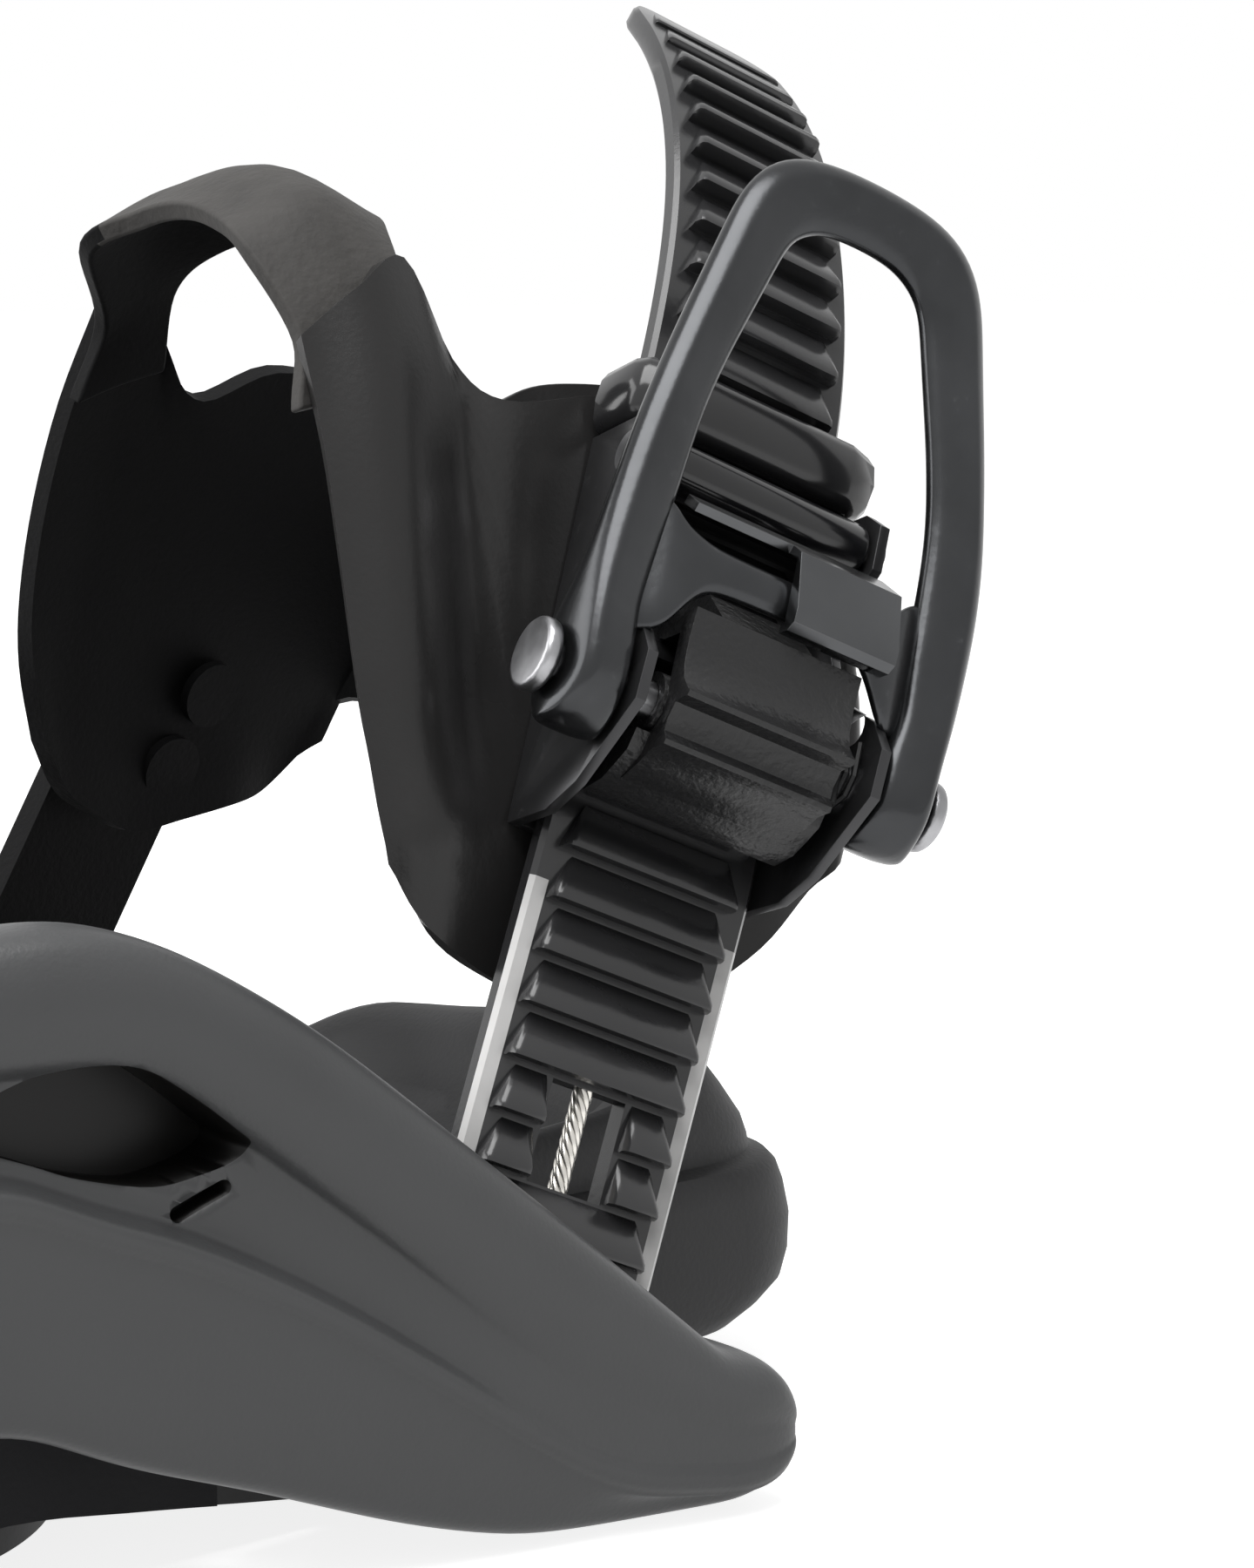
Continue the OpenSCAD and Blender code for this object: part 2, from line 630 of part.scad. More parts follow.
module wing_holes() {
  for (b = screw_bs) in_buckle() translate([0, b, -20]) cylinder(d = screw_d + 2 * loose, h = 30);
  for (b = rivet_bs) far() in_buckle() translate([0, b, -20]) cylinder(d = screw_d + 2 * loose, h = 30);
}
module toe_cap() {
  color("#2b2b2d") difference() {
    union() {
      sheet(smooth_grid(mirrored_grid(cup_rows, far_rows), 3, 2), cap_t);
      sheet(smooth_grid(mirrored_grid(band_rows, band_rows), 3, 2), cap_t);
    }
    wing_holes();
  }
}
module ladder_keeper() {
  inner = ladder_w / 2 + 0.7;
  outer = inner + keeper_t + 1;
  roof = ladder_h + 0.8;
  color("#29292b") in_buckle() translate([0, keeper_b + keeper_l, 0]) rotate([90, 0, 0]) linear_extrude(keeper_l)
    difference() {
      polygon([[-outer, keeper_k], [-outer, roof - 1], [-inner + 1, roof + keeper_t], [inner - 1, roof + keeper_t],
        [outer, roof - 1], [outer, keeper_k]]);
      translate([-inner, -0.5]) square([2 * inner, roof + 0.5]);
    }
}
module far_strap() {
  strap_w = 20;
  strap_t = 3;
  head_l = 20;
  color("#242426") far() difference() {
    union() {
      in_strap() {
        translate([-strap_w / 2, 0, -strap_t / 2]) cube([strap_w, entry_s, strap_t]);
        eyelet();
      }
      in_buckle() translate([-strap_w / 2, -2, wing_k]) cube([strap_w, head_l, ladder_h - wing_k - 0.8]);
    }
    in_strap() eyelet_bore();
    for (b = rivet_bs) in_buckle() translate([0, b, -20]) cylinder(d = screw_d + 2 * run, h = 40);
  }
}
module far_strap_rivets() {
  head_t = 1.2;
  color("#8f9296") far() in_buckle() for (b = rivet_bs) translate([0, b, 0]) {
    translate([0, 0, wing_k - cap_t - 0.4]) cylinder(d = screw_d, h = ladder_h - 0.8 - wing_k + cap_t + 0.4);
    translate([0, 0, ladder_h - 0.8]) cylinder(d = screw_d + 4, h = head_t);
    translate([0, 0, wing_k - cap_t - 0.4 - head_t]) cylinder(d = screw_d + 4, h = head_t);
  }
}

// Buckle

module side_plate() {
  polygon([[frame_b, floor_k], [frame_b, 6], [1, 11], [lever_pin_b - 2.5, lever_pin_k + 5.5],
    [lever_pin_b + 2.5, lever_pin_k + 6], [lever_pin_b + 6, lever_pin_k + 3.5], [21, 9.5], [26, 7], [31, 8],
    [roller_b - 2.5, roller_k + 3.5], [roller_b + 2.5, roller_k + 3.5], [frame_b + frame_l, 8.5],
    [frame_b + frame_l, floor_k]]);
}
// The arc that the drive pin runs in as the lever opens
module drive_arc() {
  half = drive_pin_d / 2 + gap;
  a0 = drive_a - 4;
  a1 = drive_a + lever_open + 4;
  function turn(r, a) = r * [cos(a), sin(a)];
  translate([lever_pin_b, lever_pin_k]) polygon(concat(
    [for (i = [0:16]) turn(drive_r + half, a0 + (a1 - a0) * i / 16)],
    [for (i = [1:7]) turn(drive_r, a1) + turn(half, a1 + 22.5 * i)],
    [for (i = [0:16]) turn(drive_r - half, a1 + (a0 - a1) * i / 16)],
    [for (i = [1:7]) turn(drive_r, a0) + turn(half, a0 + 180 + 22.5 * i)]));
}
module buckle_frame() {
  color("#3a3b3d") in_buckle() difference() {
    union() {
      translate([-plate_out, frame_b, floor_k]) cube([2 * plate_out, frame_l, frame_t]);
      for (p = [-plate_out, plate_in]) across(p, p + frame_t) difference() {
        side_plate();
        drive_arc();
      }
    }
    pin(lever_pin_b, lever_pin_k, lever_pin_d + 2 * run, -through / 2, through / 2);
    pin(roller_b, roller_k, roller_pin_d + 2 * run, -through / 2, through / 2);
    for (b = screw_bs) translate([0, b, floor_k - 1]) cylinder(d = screw_d + 2 * run, h = 4);
  }
}
module buckle_screws() {
  head_t = 1.8;
  color("#8f9296") in_buckle() for (b = screw_bs) translate([0, b, 0]) {
    translate([0, 0, wing_k - cap_t - 0.4]) cylinder(d = screw_d, h = floor_k + frame_t - wing_k + cap_t + 0.4);
    translate([0, 0, wing_k - cap_t - 0.4 - head_t]) cylinder(d = screw_d + 4, h = head_t);
  }
}
module lever_pin() {
  head_t = 1.8;
  reach = arm_out + gap;
  color("#a9abad") in_buckle() {
    pin(lever_pin_b, lever_pin_k, lever_pin_d, -reach, reach);
    for (p = [-reach - head_t, reach]) pin(lever_pin_b, lever_pin_k, rivet_d, p, p + head_t);
  }
}
module roller_pin() {
  head_t = 0.8;
  color("#8f9296") in_buckle() {
    pin(roller_b, roller_k, roller_pin_d, -plate_out, plate_out);
    for (p = [-plate_out - head_t, plate_out]) pin(roller_b, roller_k, roller_pin_d + 1.6, p, p + head_t);
  }
}
module roller() {
  half = plate_in - gap;
  color("#0e0e0f") in_buckle() difference() {
    pin(roller_b, roller_k, roller_d, -half, half);
    pin(roller_b, roller_k, roller_pin_d + 2 * run, -through / 2, through / 2);
  }
}
// The ribbed pad: steps on the outside, hollow over the drive pawl
module pad_steps() {
  translate([lever_pin_b, lever_pin_k]) polygon([[9, 5.4], [5.5, 5], [3, 5.1], [1.4, 5.6], [0.3, 6.5],
    [-0.3, 7.2], [-0.8, 6.9], [-1, 4.9], [-2.6, 4], [-3.8, 3.9], [-4.8, 4.5], [-5.3, 4.3], [-5.4, 2.2], [-6.3, 0.4],
    [-7.4, -2.4], [-7.9, -6.4], [-5.2, -6.4], [-3.3, -4.5], [-3.3, 1.5], [-1.8, 2.9], [9, 2.9]]);
}
module pad_foot() {
  translate([lever_pin_b, lever_pin_k]) polygon([[-3.5, 1.2], [-5.6, 0.2], [-6.6, -1.4], [-7.9, -3.7],
    [-8.4, -6.9], [-4.7, -6.9], [-3.1, -4.2]]);
}
module hold_tooth() {
  polygon([[lever_pin_b + 5.5, lever_pin_k + 4.5], [lever_pin_b + 8.8, lever_pin_k + 4.5],
    [lever_pin_b + 10.5, lever_pin_k + 2.4], [lever_pin_b + 13.7, lever_pin_k - 1], [hold_b, ladder_h + 0.7],
    [hold_b - 1.1, tooth_reach_k], [hold_b - 2.8, tooth_reach_k + 0.8], [hold_b - 3.2, ladder_h + 1],
    [lever_pin_b + 10.5, lever_pin_k - 1], [lever_pin_b + 7.6, lever_pin_k + 2.6]]);
}
module release_pawl() {
  boss_d = lever_pin_d + 2.2;
  color("#171718") in_buckle() difference() {
    union() {
      across(-pad_half, pad_half) pad_steps();
      across(-pad_foot_half, pad_foot_half) pad_foot();
      across(-tooth_half, tooth_half) hold_tooth();
      pin(lever_pin_b, lever_pin_k, boss_d, -pawl_half, pawl_half);
      across(loose - pad_half, pad_half - loose)
        translate([lever_pin_b - 3.7, lever_pin_k - 0.6]) square([5, 3.8]);
    }
    pin(lever_pin_b, lever_pin_k, lever_pin_d + 2 * run, -through / 2, through / 2);
  }
}
// A torsion spring along p: its coils, with a straight leg at each end
function spring_points(r, turns, p0, p1, leg) = let (n = turns * 8) concat(
  [[p0, -leg, r]], [for (i = [0:n]) [p0 + (p1 - p0) * i / n, r * sin(360 * i / 8), r * cos(360 * i / 8)]],
  [[p1, leg, r]]);
module wire(points, d) {
  sides = 6;
  m = len(points);
  function dir(i) = unit(points[min(i + 1, m - 1)] - points[max(i - 1, 0)]);
  function side(i) = unit(cross(dir(i), [1, 0.01, 0.02]));
  rings = [for (i = [0:m - 1]) for (k = [0:sides - 1])
    points[i] + d / 2 * (cos(60 * k) * side(i) + sin(60 * k) * cross(dir(i), side(i)))];
  quads = [for (i = [0:m - 2]) for (k = [0:sides - 1]) [i * sides + k, i * sides + (k + 1) % sides,
    (i + 1) * sides + (k + 1) % sides, (i + 1) * sides + k]];
  polyhedron(rings, concat([for (q = quads) each [[q[2], q[1], q[0]], [q[3], q[2], q[0]]]],
    [[for (k = [0:sides - 1]) k]], [[for (k = [sides - 1:-1:0]) (m - 1) * sides + k]]));
}
module release_spring() {
  color("#b8babc") in_buckle() translate([0, lever_pin_b, lever_pin_k])
    wire(spring_points(lever_pin_d / 2 + 0.7, 2, pawl_half + 0.6, plate_in - 0.6, 3.6), spring_wire);
}
module drive_spring() {
  color("#b8babc") in_buckle() translate([0, drive_b, drive_k])
    wire(spring_points(drive_pin_d / 2 + 0.6, 2, -plate_in + 0.6, -pawl_half - 0.6, 2), spring_wire);
}

// Lever

// The right half of an outline, closed with its mirror image
module both_halves(half) {
  line = curve(half, 4);
  polygon(concat(line, [for (i = [len(line) - 1:-1:0]) [-line[i][0], line[i][1]]]));
}
module lever_outline() {
  top = lever_pin_b + lever_l;
  half = lever_top_w / 2;
  both_halves([[arm_out, lever_pin_b], [arm_out + 0.5, lever_pin_b + 10], [arm_out + 0.2, lever_pin_b + 20],
    [arm_out - 1.6, lever_pin_b + 32], [half + 2.4, top - 16.5], [half + 0.2, top - 8], [half - 2, top - 3],
    [half - 5.5, top - 0.5], [half - 9, top], [0.4, top]]);
}
module lever_opening() {
  top = lever_pin_b + lever_l - bar_w;
  half = lever_top_w / 2 - bar_w;
  foot = web_b + web_l;
  foot_half = arm_out - bar_w - 0.8;
  both_halves([[0.4, foot], [foot_half - 5, foot + 0.3], [foot_half - 1.4, foot + 1.8], [foot_half, foot + 5],
    [foot_half, foot + 10], [half + 3.6, top - 16], [half + 1.2, top - 5], [half - 1, top - 1.2],
    [half - 4.5, top], [0.4, top]]);
}
// The bridge between the arms, arched on its lower side
module web_outline() {
  both_halves([[0.4, web_b], [arm_in - 4.5, web_b - 0.2], [arm_in - 1.6, web_b - 1.4], [arm_in - 0.4, web_b - 4],
    [arm_in, web_b - 7.5], [arm_in + 1.2, web_b - 7.4], [arm_in + 1.5, web_b], [arm_in + 1.2, web_b + web_l + 2],
    [arm_in - 2, web_b + web_l + 1.2], [0.4, web_b + web_l]]);
}
module lever() {
  color("#3b3d40") in_buckle() difference() {
    union() {
      translate([0, 0, lever_k]) linear_extrude(lever_t) difference() {
        lever_outline();
        lever_opening();
        translate([-arm_in, 0]) square([2 * arm_in, web_b + web_l]);
      }
      translate([0, 0, web_k]) linear_extrude(lever_k + lever_t - web_k) difference() {
        web_outline();
        lever_opening();
      }
      for (p = [-arm_out, arm_in]) {
        pin(lever_pin_b, lever_pin_k, 2 * eye_r, p, p + arm_out - arm_in);
        pin(drive_b, drive_k, drive_pin_d + 2.8, p, p + arm_out - arm_in);
        across(p, p + arm_out - arm_in) translate([lever_pin_b - 3.4, drive_k]) square([7, drive_r]);
      }
    }
    pin(lever_pin_b, lever_pin_k, lever_pin_d + 2 * run, -through / 2, through / 2);
    pin(drive_b, drive_k, drive_pin_d + 2 * run, -drive_pin_half, drive_pin_half);
  }
}
module tongue_plate() {
  top_k = lever_k + lever_t + eps;
  foot = web_b + web_l;
  color("#2a2b2d") in_buckle() {
    across(-0.5, tongue_w) polygon([[foot + 4.6, top_k - 4.3], [foot + 5.4, top_k - 3.6], [foot + 2.6, top_k + 0.6],
      [web_b + 0.6, top_k + 2], [web_b - 0.9, top_k + 1.8], [web_b - 1.6, top_k + 0.8], [web_b - 1.6, top_k - 0.7],
      [web_b - 0.6, top_k - 0.7], [web_b - 0.5, top_k], [foot + 2, top_k]]);
    across(-tongue_w, 0) polygon([[foot + 4.6, top_k - 4.3], [foot + 5.4, top_k - 3.6], [foot + 3.8, top_k - 1.2],
      [foot + 3, top_k - 1.8]]);
  }
}
module drive_pin() {
  color("#8f9296") in_buckle() pin(drive_b, drive_k, drive_pin_d, -drive_pin_half + loose, drive_pin_half - loose);
}
module drive_pawl() {
  boss_d = drive_pin_d + 2.2;
  tip_b = drive_b + 5;
  tip_k = ladder_h + gap;
  color("#55575a") in_buckle() difference() {
    union() {
      pin(drive_b, drive_k, boss_d, -pawl_half, pawl_half);
      for (p = [-finger_in - finger_w, finger_in]) across(p, p + finger_w)
        polygon([[drive_b, drive_k + boss_d / 2], [tip_b, tip_k + 1.6], [tip_b, tip_k], [drive_b + 1, tip_k]]);
    }
    pin(drive_b, drive_k, drive_pin_d + 2 * run, -through / 2, through / 2);
  }
}

chassis();
base_pad();
mounting_disc();
footbed();
toe_ramp();
ramp_screws();
anchor_screws();
anchor_inserts();
ladder();
cable();
toe_cap();
ladder_keeper();
far_strap();
far_strap_rivets();
buckle_frame();
buckle_screws();
lever_pin();
roller_pin();
roller();
release_pawl();
release_spring();
lever();
tongue_plate();
drive_pin();
drive_pawl();
drive_spring();
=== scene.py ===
import math
import bmesh
import bpy
from mathutils import Matrix, Vector


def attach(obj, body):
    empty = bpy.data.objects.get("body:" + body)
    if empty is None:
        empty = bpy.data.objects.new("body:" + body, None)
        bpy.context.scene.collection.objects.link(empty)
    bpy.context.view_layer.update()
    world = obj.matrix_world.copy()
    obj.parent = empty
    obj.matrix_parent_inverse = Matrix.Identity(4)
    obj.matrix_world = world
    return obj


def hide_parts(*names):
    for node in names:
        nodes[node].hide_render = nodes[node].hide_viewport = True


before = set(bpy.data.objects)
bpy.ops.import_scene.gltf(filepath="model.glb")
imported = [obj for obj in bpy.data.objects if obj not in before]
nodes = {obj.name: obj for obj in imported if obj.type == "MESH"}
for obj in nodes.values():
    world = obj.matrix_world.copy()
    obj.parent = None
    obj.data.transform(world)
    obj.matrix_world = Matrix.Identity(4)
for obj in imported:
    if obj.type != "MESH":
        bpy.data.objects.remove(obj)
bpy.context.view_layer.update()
scene = bpy.context.scene

MM = 0.001
WELD = 2e-6


# Materials

ROUGH_SPREAD = 0.08
GRAIN_DEPTH = 0.0002


def link(tree, a, b):
    """Joins an output to an input."""
    tree.links.new(a, b)


def add(tree, kind, values=None, **props):
    """A new node with its settings and the values of its inputs."""
    n = tree.nodes.new(kind)
    for k, v in props.items():
        setattr(n, k, v)
    for k, v in (values or {}).items():
        n.inputs[k].default_value = v
    return n


def noise(tree, coord, values):
    """Noise read in the object's own coordinates."""
    n = add(tree, "ShaderNodeTexNoise", values)
    link(tree, coord.outputs["Object"], n.inputs["Vector"])
    return n


def between(tree, source, *stops):
    """A colour between two stops, each a place in the noise and a colour."""
    n = add(tree, "ShaderNodeValToRGB")
    for stop, (place, color) in zip(n.color_ramp.elements, stops):
        stop.position = place
        stop.color = (*color, 1)
    link(tree, source.outputs["Fac"], n.inputs["Fac"])
    return n.outputs["Color"]


def material(name, color, rough, metallic=0.0, mottle=0.0, mottle_scale=60.0, grain=0.0, grain_scale=1500.0,
             spec=0.5, wear=0.0, wear_color=(0.25, 0.25, 0.26)):
    """A plain surface with soft mottling, fine grain and, if asked, worn light scuffs."""
    m = bpy.data.materials.new(name)
    m.use_nodes = True
    t = m.node_tree
    b = t.nodes["Principled BSDF"]
    b.inputs["Metallic"].default_value = metallic
    b.inputs["Specular IOR Level"].default_value = spec
    coord = add(t, "ShaderNodeTexCoord")
    broad = noise(t, coord, {"Scale": mottle_scale, "Detail": 5.0})
    out = between(t, broad, (0.3, [c * (1 - mottle) for c in color]),
                  (0.7, [c * (1 + mottle) for c in color]))
    uneven = add(t, "ShaderNodeMapRange", {"To Min": max(0.02, rough - ROUGH_SPREAD),
                                           "To Max": min(1.0, rough + ROUGH_SPREAD)})
    link(t, broad.outputs["Fac"], uneven.inputs["Value"])
    link(t, uneven.outputs["Result"], b.inputs["Roughness"])
    if wear:
        scuff = noise(t, coord, {"Scale": mottle_scale * 4, "Detail": 8.0, "Roughness": 0.75})
        mix = add(t, "ShaderNodeMix", {7: (*wear_color, 1)}, data_type="RGBA")
        link(t, between(t, scuff, (0.62, (0, 0, 0)), (0.74, (wear, wear, wear))), mix.inputs["Factor"])
        link(t, out, mix.inputs[6])
        out = mix.outputs[2]
    link(t, out, b.inputs["Base Color"])
    if grain:
        fine = noise(t, coord, {"Scale": grain_scale, "Detail": 2.0})
        bump = add(t, "ShaderNodeBump", {"Strength": grain, "Distance": GRAIN_DEPTH})
        link(t, fine.outputs["Fac"], bump.inputs["Height"])
        link(t, bump.outputs["Normal"], b.inputs["Normal"])
    return m


FINISHES = {
    "chassis": material("chassis_nylon", (0.055, 0.056, 0.0575), 0.42, mottle=0.06, grain=0.22,
                        grain_scale=1800, spec=0.4),
    "pad": material("pad_foam", (0.010, 0.010, 0.011), 0.85, mottle=0.1, grain=0.3, spec=0.3),
    "ramp": material("ramp_rubber", (0.03, 0.03, 0.031), 0.6, mottle=0.2, mottle_scale=45, grain=0.35,
                     spec=0.35, wear=0.25, wear_color=(0.1, 0.1, 0.1)),
    "ladder": material("ladder_nylon", (0.022, 0.022, 0.023), 0.22, mottle=0.1, grain=0.06, spec=0.5),
    "cap": material("cap_rubber", (0.017, 0.0165, 0.0165), 0.3, mottle=0.15, mottle_scale=30, grain=0.12,
                    spec=0.28),
    "band": material("band_cloth", (0.04, 0.038, 0.036), 0.7, mottle=0.25, mottle_scale=160, grain=0.7,
                     grain_scale=900, spec=0.3),
    # A near-black lining for the cap's inner faces, also used as painted shade on the far side's rims and
    # faces
    "liner_and_shade": material("cap_liner_and_shade", (0.0045, 0.0045, 0.0048), 0.7, mottle=0.3, mottle_scale=40, grain=0.4,
                      spec=0.1),
    # Painted shade: a near-black finish for the faces inside the rail's leaf and vent, where shade falls
    "hollow": material("rail_hollow", (0.006, 0.0057, 0.0055), 0.35, mottle=0.3, mottle_scale=25, spec=0.2),
    # Painted reflection: a light grey that stands in for the gloss on the ladder's margins
    "margin_sheen": material("ladder_margin_sheen", (0.5, 0.495, 0.49), 0.2, mottle=0.35, mottle_scale=50, spec=0.6),
    "strap": material("strap_nylon", (0.010, 0.010, 0.0105), 0.5, mottle=0.1, grain=0.1, spec=0.35),
    "lever": material("lever_cast", (0.045, 0.0463, 0.0485), 0.24, metallic=0.85, mottle=0.15,
                      mottle_scale=90, grain=0.1, grain_scale=900, wear=0.3, wear_color=(0.16, 0.165, 0.17)),
    "keeper": material("keeper_nylon", (0.02, 0.02, 0.021), 0.16, mottle=0.1, spec=0.45),
    "pawl": material("pawl_nylon", (0.014, 0.014, 0.0145), 0.34, mottle=0.12, grain=0.7, grain_scale=1300,
                     spec=0.35),
    "roller": material("roller_nylon", (0.008, 0.008, 0.009), 0.14, mottle=0.1),
    "frame": material("frame_steel", (0.05, 0.05, 0.052), 0.32, metallic=0.7, mottle=0.2, wear=0.4,
                      wear_color=(0.3, 0.3, 0.31)),
    "tongue": material("tongue_steel", (0.085, 0.087, 0.09), 0.2, metallic=0.95, mottle=0.15),
    "steel": material("bare_steel", (0.32, 0.32, 0.33), 0.34, metallic=1.0, mottle=0.25, mottle_scale=250),
    "rope": material("rope_steel", (0.62, 0.60, 0.56), 0.28, metallic=1.0, mottle=0.1, mottle_scale=400),
    "brass": material("insert_brass", (0.5, 0.36, 0.14), 0.35, metallic=1.0),
}


# Pieces

def dress(obj, mat):
    """One finish for the whole object."""
    obj.data.materials.clear()
    obj.data.materials.append(FINISHES[mat])


def plain(obj):
    """The object's evaluated mesh as its own data, with no modifier left."""
    deps = bpy.context.evaluated_depsgraph_get()
    me = bpy.data.meshes.new_from_object(obj.evaluated_get(deps), preserve_all_data_layers=True,
                                         depsgraph=deps)
    obj.modifiers.clear()
    obj.data = me
    return obj


def piece(name, mesh):
    """A new object in the scene."""
    o = bpy.data.objects.new(name, mesh)
    scene.collection.objects.link(o)
    return o


def modify(o, kind, **settings):
    """A modifier with its settings."""
    m = o.modifiers.new(kind.lower(), kind)
    for k, v in settings.items():
        setattr(m, k, v)


def finish_piece(o, mat, body, *stands_for):
    """A finished piece on its body, in place of the CAD nodes it stands for; no mat keeps its own slots."""
    plain(o)
    if mat:
        dress(o, mat)
    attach(o, body)
    if stands_for:
        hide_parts(*stands_for)


def sharp_by_angle(o, deg):
    o.data.set_sharp_from_angle(angle=math.radians(deg))


def welded(node, whole_faces=False):
    """A copy of a CAD node's mesh with its triangles joined, and flat areas made one face each if asked."""
    me = nodes[node].data.copy()
    me.materials.clear()
    bm = bmesh.new()
    bm.from_mesh(me)
    bmesh.ops.remove_doubles(bm, verts=bm.verts, dist=WELD)
    if whole_faces:
        bmesh.ops.dissolve_limit(bm, angle_limit=math.radians(1.5), verts=bm.verts, edges=bm.edges)
        for f in bm.faces:
            f.smooth = True
    bm.to_mesh(me)
    bm.free()
    return me


def rounded(node, body, mat, width, segments):
    """A copy of a CAD node with its edges rounded, in place of that node."""
    o = piece(node + "_look", welded(node, whole_faces=True))
    modify(o, "BEVEL", width=width * MM, segments=segments, limit_method="ANGLE",
           angle_limit=math.radians(28), harden_normals=True, miter_outer="MITER_ARC")
    finish_piece(o, mat, body, node)


for node, mat in (("chassis", "chassis"), ("base_pad", "pad"), ("mounting_disc", "strap"), ("footbed", "pad"),
                  ("toe_ramp", "ramp"), ("ramp_screws", "steel"), ("anchor_screws", "steel"),
                  ("anchor_inserts", "brass"), ("ladder", "ladder"), ("cable", "rope"), ("toe_cap", "cap"),
                  ("ladder_keeper", "cap"), ("far_strap", "liner_and_shade"), ("far_strap_rivets", "liner_and_shade"),
                  ("buckle_frame", "frame"), ("buckle_screws", "steel"), ("lever_pin", "steel"),
                  ("roller_pin", "steel"), ("roller", "roller"), ("release_pawl", "pawl"),
                  ("release_spring", "strap"), ("lever", "lever"), ("tongue_plate", "tongue"),
                  ("drive_pin", "steel"), ("drive_pawl", "frame"), ("drive_spring", "steel")):
    dress(nodes[node], mat)


# Driving sizes of rails and ladder, and the frames of strap and buckle, in mm

RAIL_SPLAY = 9
SPLAY_FROM = -20
RAIL_HALF = 52.4
ANCHOR_X, ANCHOR_IN, ANCHOR_Z = 57, 8.9, 17
STRAP_LEAN, STRAP_RAKE = 12, 24
STRIP_T = 2.6
TOOTH_H = 2.2
LADDER_H = STRIP_T + TOOTH_H
ENTRY_S = 52
ENTRY_BEND = math.radians(6)


def rail_y(x):
    """The near rail's outer face at a place along the base."""
    return -RAIL_HALF - max(0, x - SPLAY_FROM) * math.tan(math.radians(RAIL_SPLAY))


def turned(axis, deg):
    return Matrix.Rotation(math.radians(deg), 4, axis)


ANCHOR = Matrix.Translation((ANCHOR_X, rail_y(ANCHOR_X) + ANCHOR_IN, ANCHOR_Z))
STRAP = ANCHOR @ turned("Z", -RAIL_SPLAY) @ turned("X", 90 - STRAP_LEAN) @ turned("Z", -STRAP_RAKE)
STRAP_TURN = STRAP.to_3x3()
ENTRY = STRAP @ Vector((0, ENTRY_S, -LADDER_H / 2))
ACROSS = STRAP_TURN @ Vector((1, 0, 0))
ALONG = STRAP_TURN @ Vector((0, math.cos(ENTRY_BEND), -math.sin(ENTRY_BEND)))
OUTWARDS = STRAP_TURN @ Vector((0, math.sin(ENTRY_BEND), math.cos(ENTRY_BEND)))


# Shape helpers, with lengths in mm

def buckle(p, b, k):
    """A point across, along and outwards from where the ladder enters the buckle, in the shared frame."""
    return ENTRY + p * ACROSS + b * ALONG + k * OUTWARDS


def mirror_y(v):
    """The same point on the far side."""
    return Vector((v.x, -v.y, v.z))


def clamp(t):
    return max(0, min(1, t))


def spline(pts, n):
    """A smooth line through points, n steps for each span."""
    out = []
    m = len(pts) - 1
    for i in range(m):
        a = pts[i - 1] if i else 2 * pts[0] - pts[1]
        b, c = pts[i], pts[i + 1]
        d = pts[i + 2] if i < m - 1 else 2 * pts[m] - pts[m - 1]
        for j in range(n):
            t = j / n
            out.append(0.5 * (2 * b + (c - a) * t + (2 * a - 5 * b + 4 * c - d) * t * t
                              + (3 * b - a - 3 * c + d) * t ** 3))
    out.append(pts[m])
    return out


def smooth_grid(rows, across, along):
    """A grid of points smoothed across and along its rows, with so many steps for each span."""
    rows = [spline(r, along) for r in rows]
    cols = [spline([r[j] for r in rows], across) for j in range(len(rows[0]))]
    return [[c[i] for c in cols] for i in range(len(cols[0]))]


def through(pts):
    """A smooth function through (x, y) points that doesn't overshoot."""
    xs = [p[0] for p in pts]
    ys = [p[1] for p in pts]
    n = len(pts)
    s = [(ys[i + 1] - ys[i]) / (xs[i + 1] - xs[i]) for i in range(n - 1)]
    inner = [0 if a * b <= 0 else 2 * a * b / (a + b) for a, b in zip(s, s[1:])]
    g = [s[0]] + inner + [s[-1]]

    def f(x):
        if x <= xs[0]:
            return ys[0]
        if x >= xs[-1]:
            return ys[-1]
        i = max(j for j in range(n - 1) if xs[j] <= x)
        h = xs[i + 1] - xs[i]
        t = (x - xs[i]) / h
        return ((2 * t ** 3 - 3 * t * t + 1) * ys[i] + (t ** 3 - 2 * t * t + t) * h * g[i]
                + (3 * t * t - 2 * t ** 3) * ys[i + 1] + (t ** 3 - t * t) * h * g[i + 1])
    return f


def make_mesh(name, verts, faces):
    """A mesh with its normals outward and smooth shading."""
    me = bpy.data.meshes.new(name)
    me.from_pydata([Vector(v) * MM for v in verts], [], faces)
    bm = bmesh.new()
    bm.from_mesh(me)
    bmesh.ops.remove_doubles(bm, verts=bm.verts, dist=1e-6)
    bmesh.ops.recalc_face_normals(bm, faces=bm.faces)
    for f in bm.faces:
        f.smooth = True
    bm.to_mesh(me)
    bm.free()
    return me


def loft(rings, closed=True):
    """Points and faces of a skin over rings of equal length, with end faces if the rings are closed."""
    n = len(rings[0])
    verts = [v for r in rings for v in r]
    faces = []
    for i in range(len(rings) - 1):
        for j in range(n if closed else n - 1):
            k = (j + 1) % n
            faces.append((i * n + j, i * n + k, (i + 1) * n + k, (i + 1) * n + j))
    if closed:
        faces.append(tuple(range(n)))
        faces.append(tuple((len(rings) - 1) * n + j for j in range(n)))
    return verts, faces


def skin(name, rings):
    """An object lofted over closed rings."""
    return piece(name, make_mesh(name, *loft(rings)))


def subdivided(o):
    """The object with its surface smoothed."""
    modify(o, "SUBSURF", levels=2, render_levels=2)
    return plain(o)


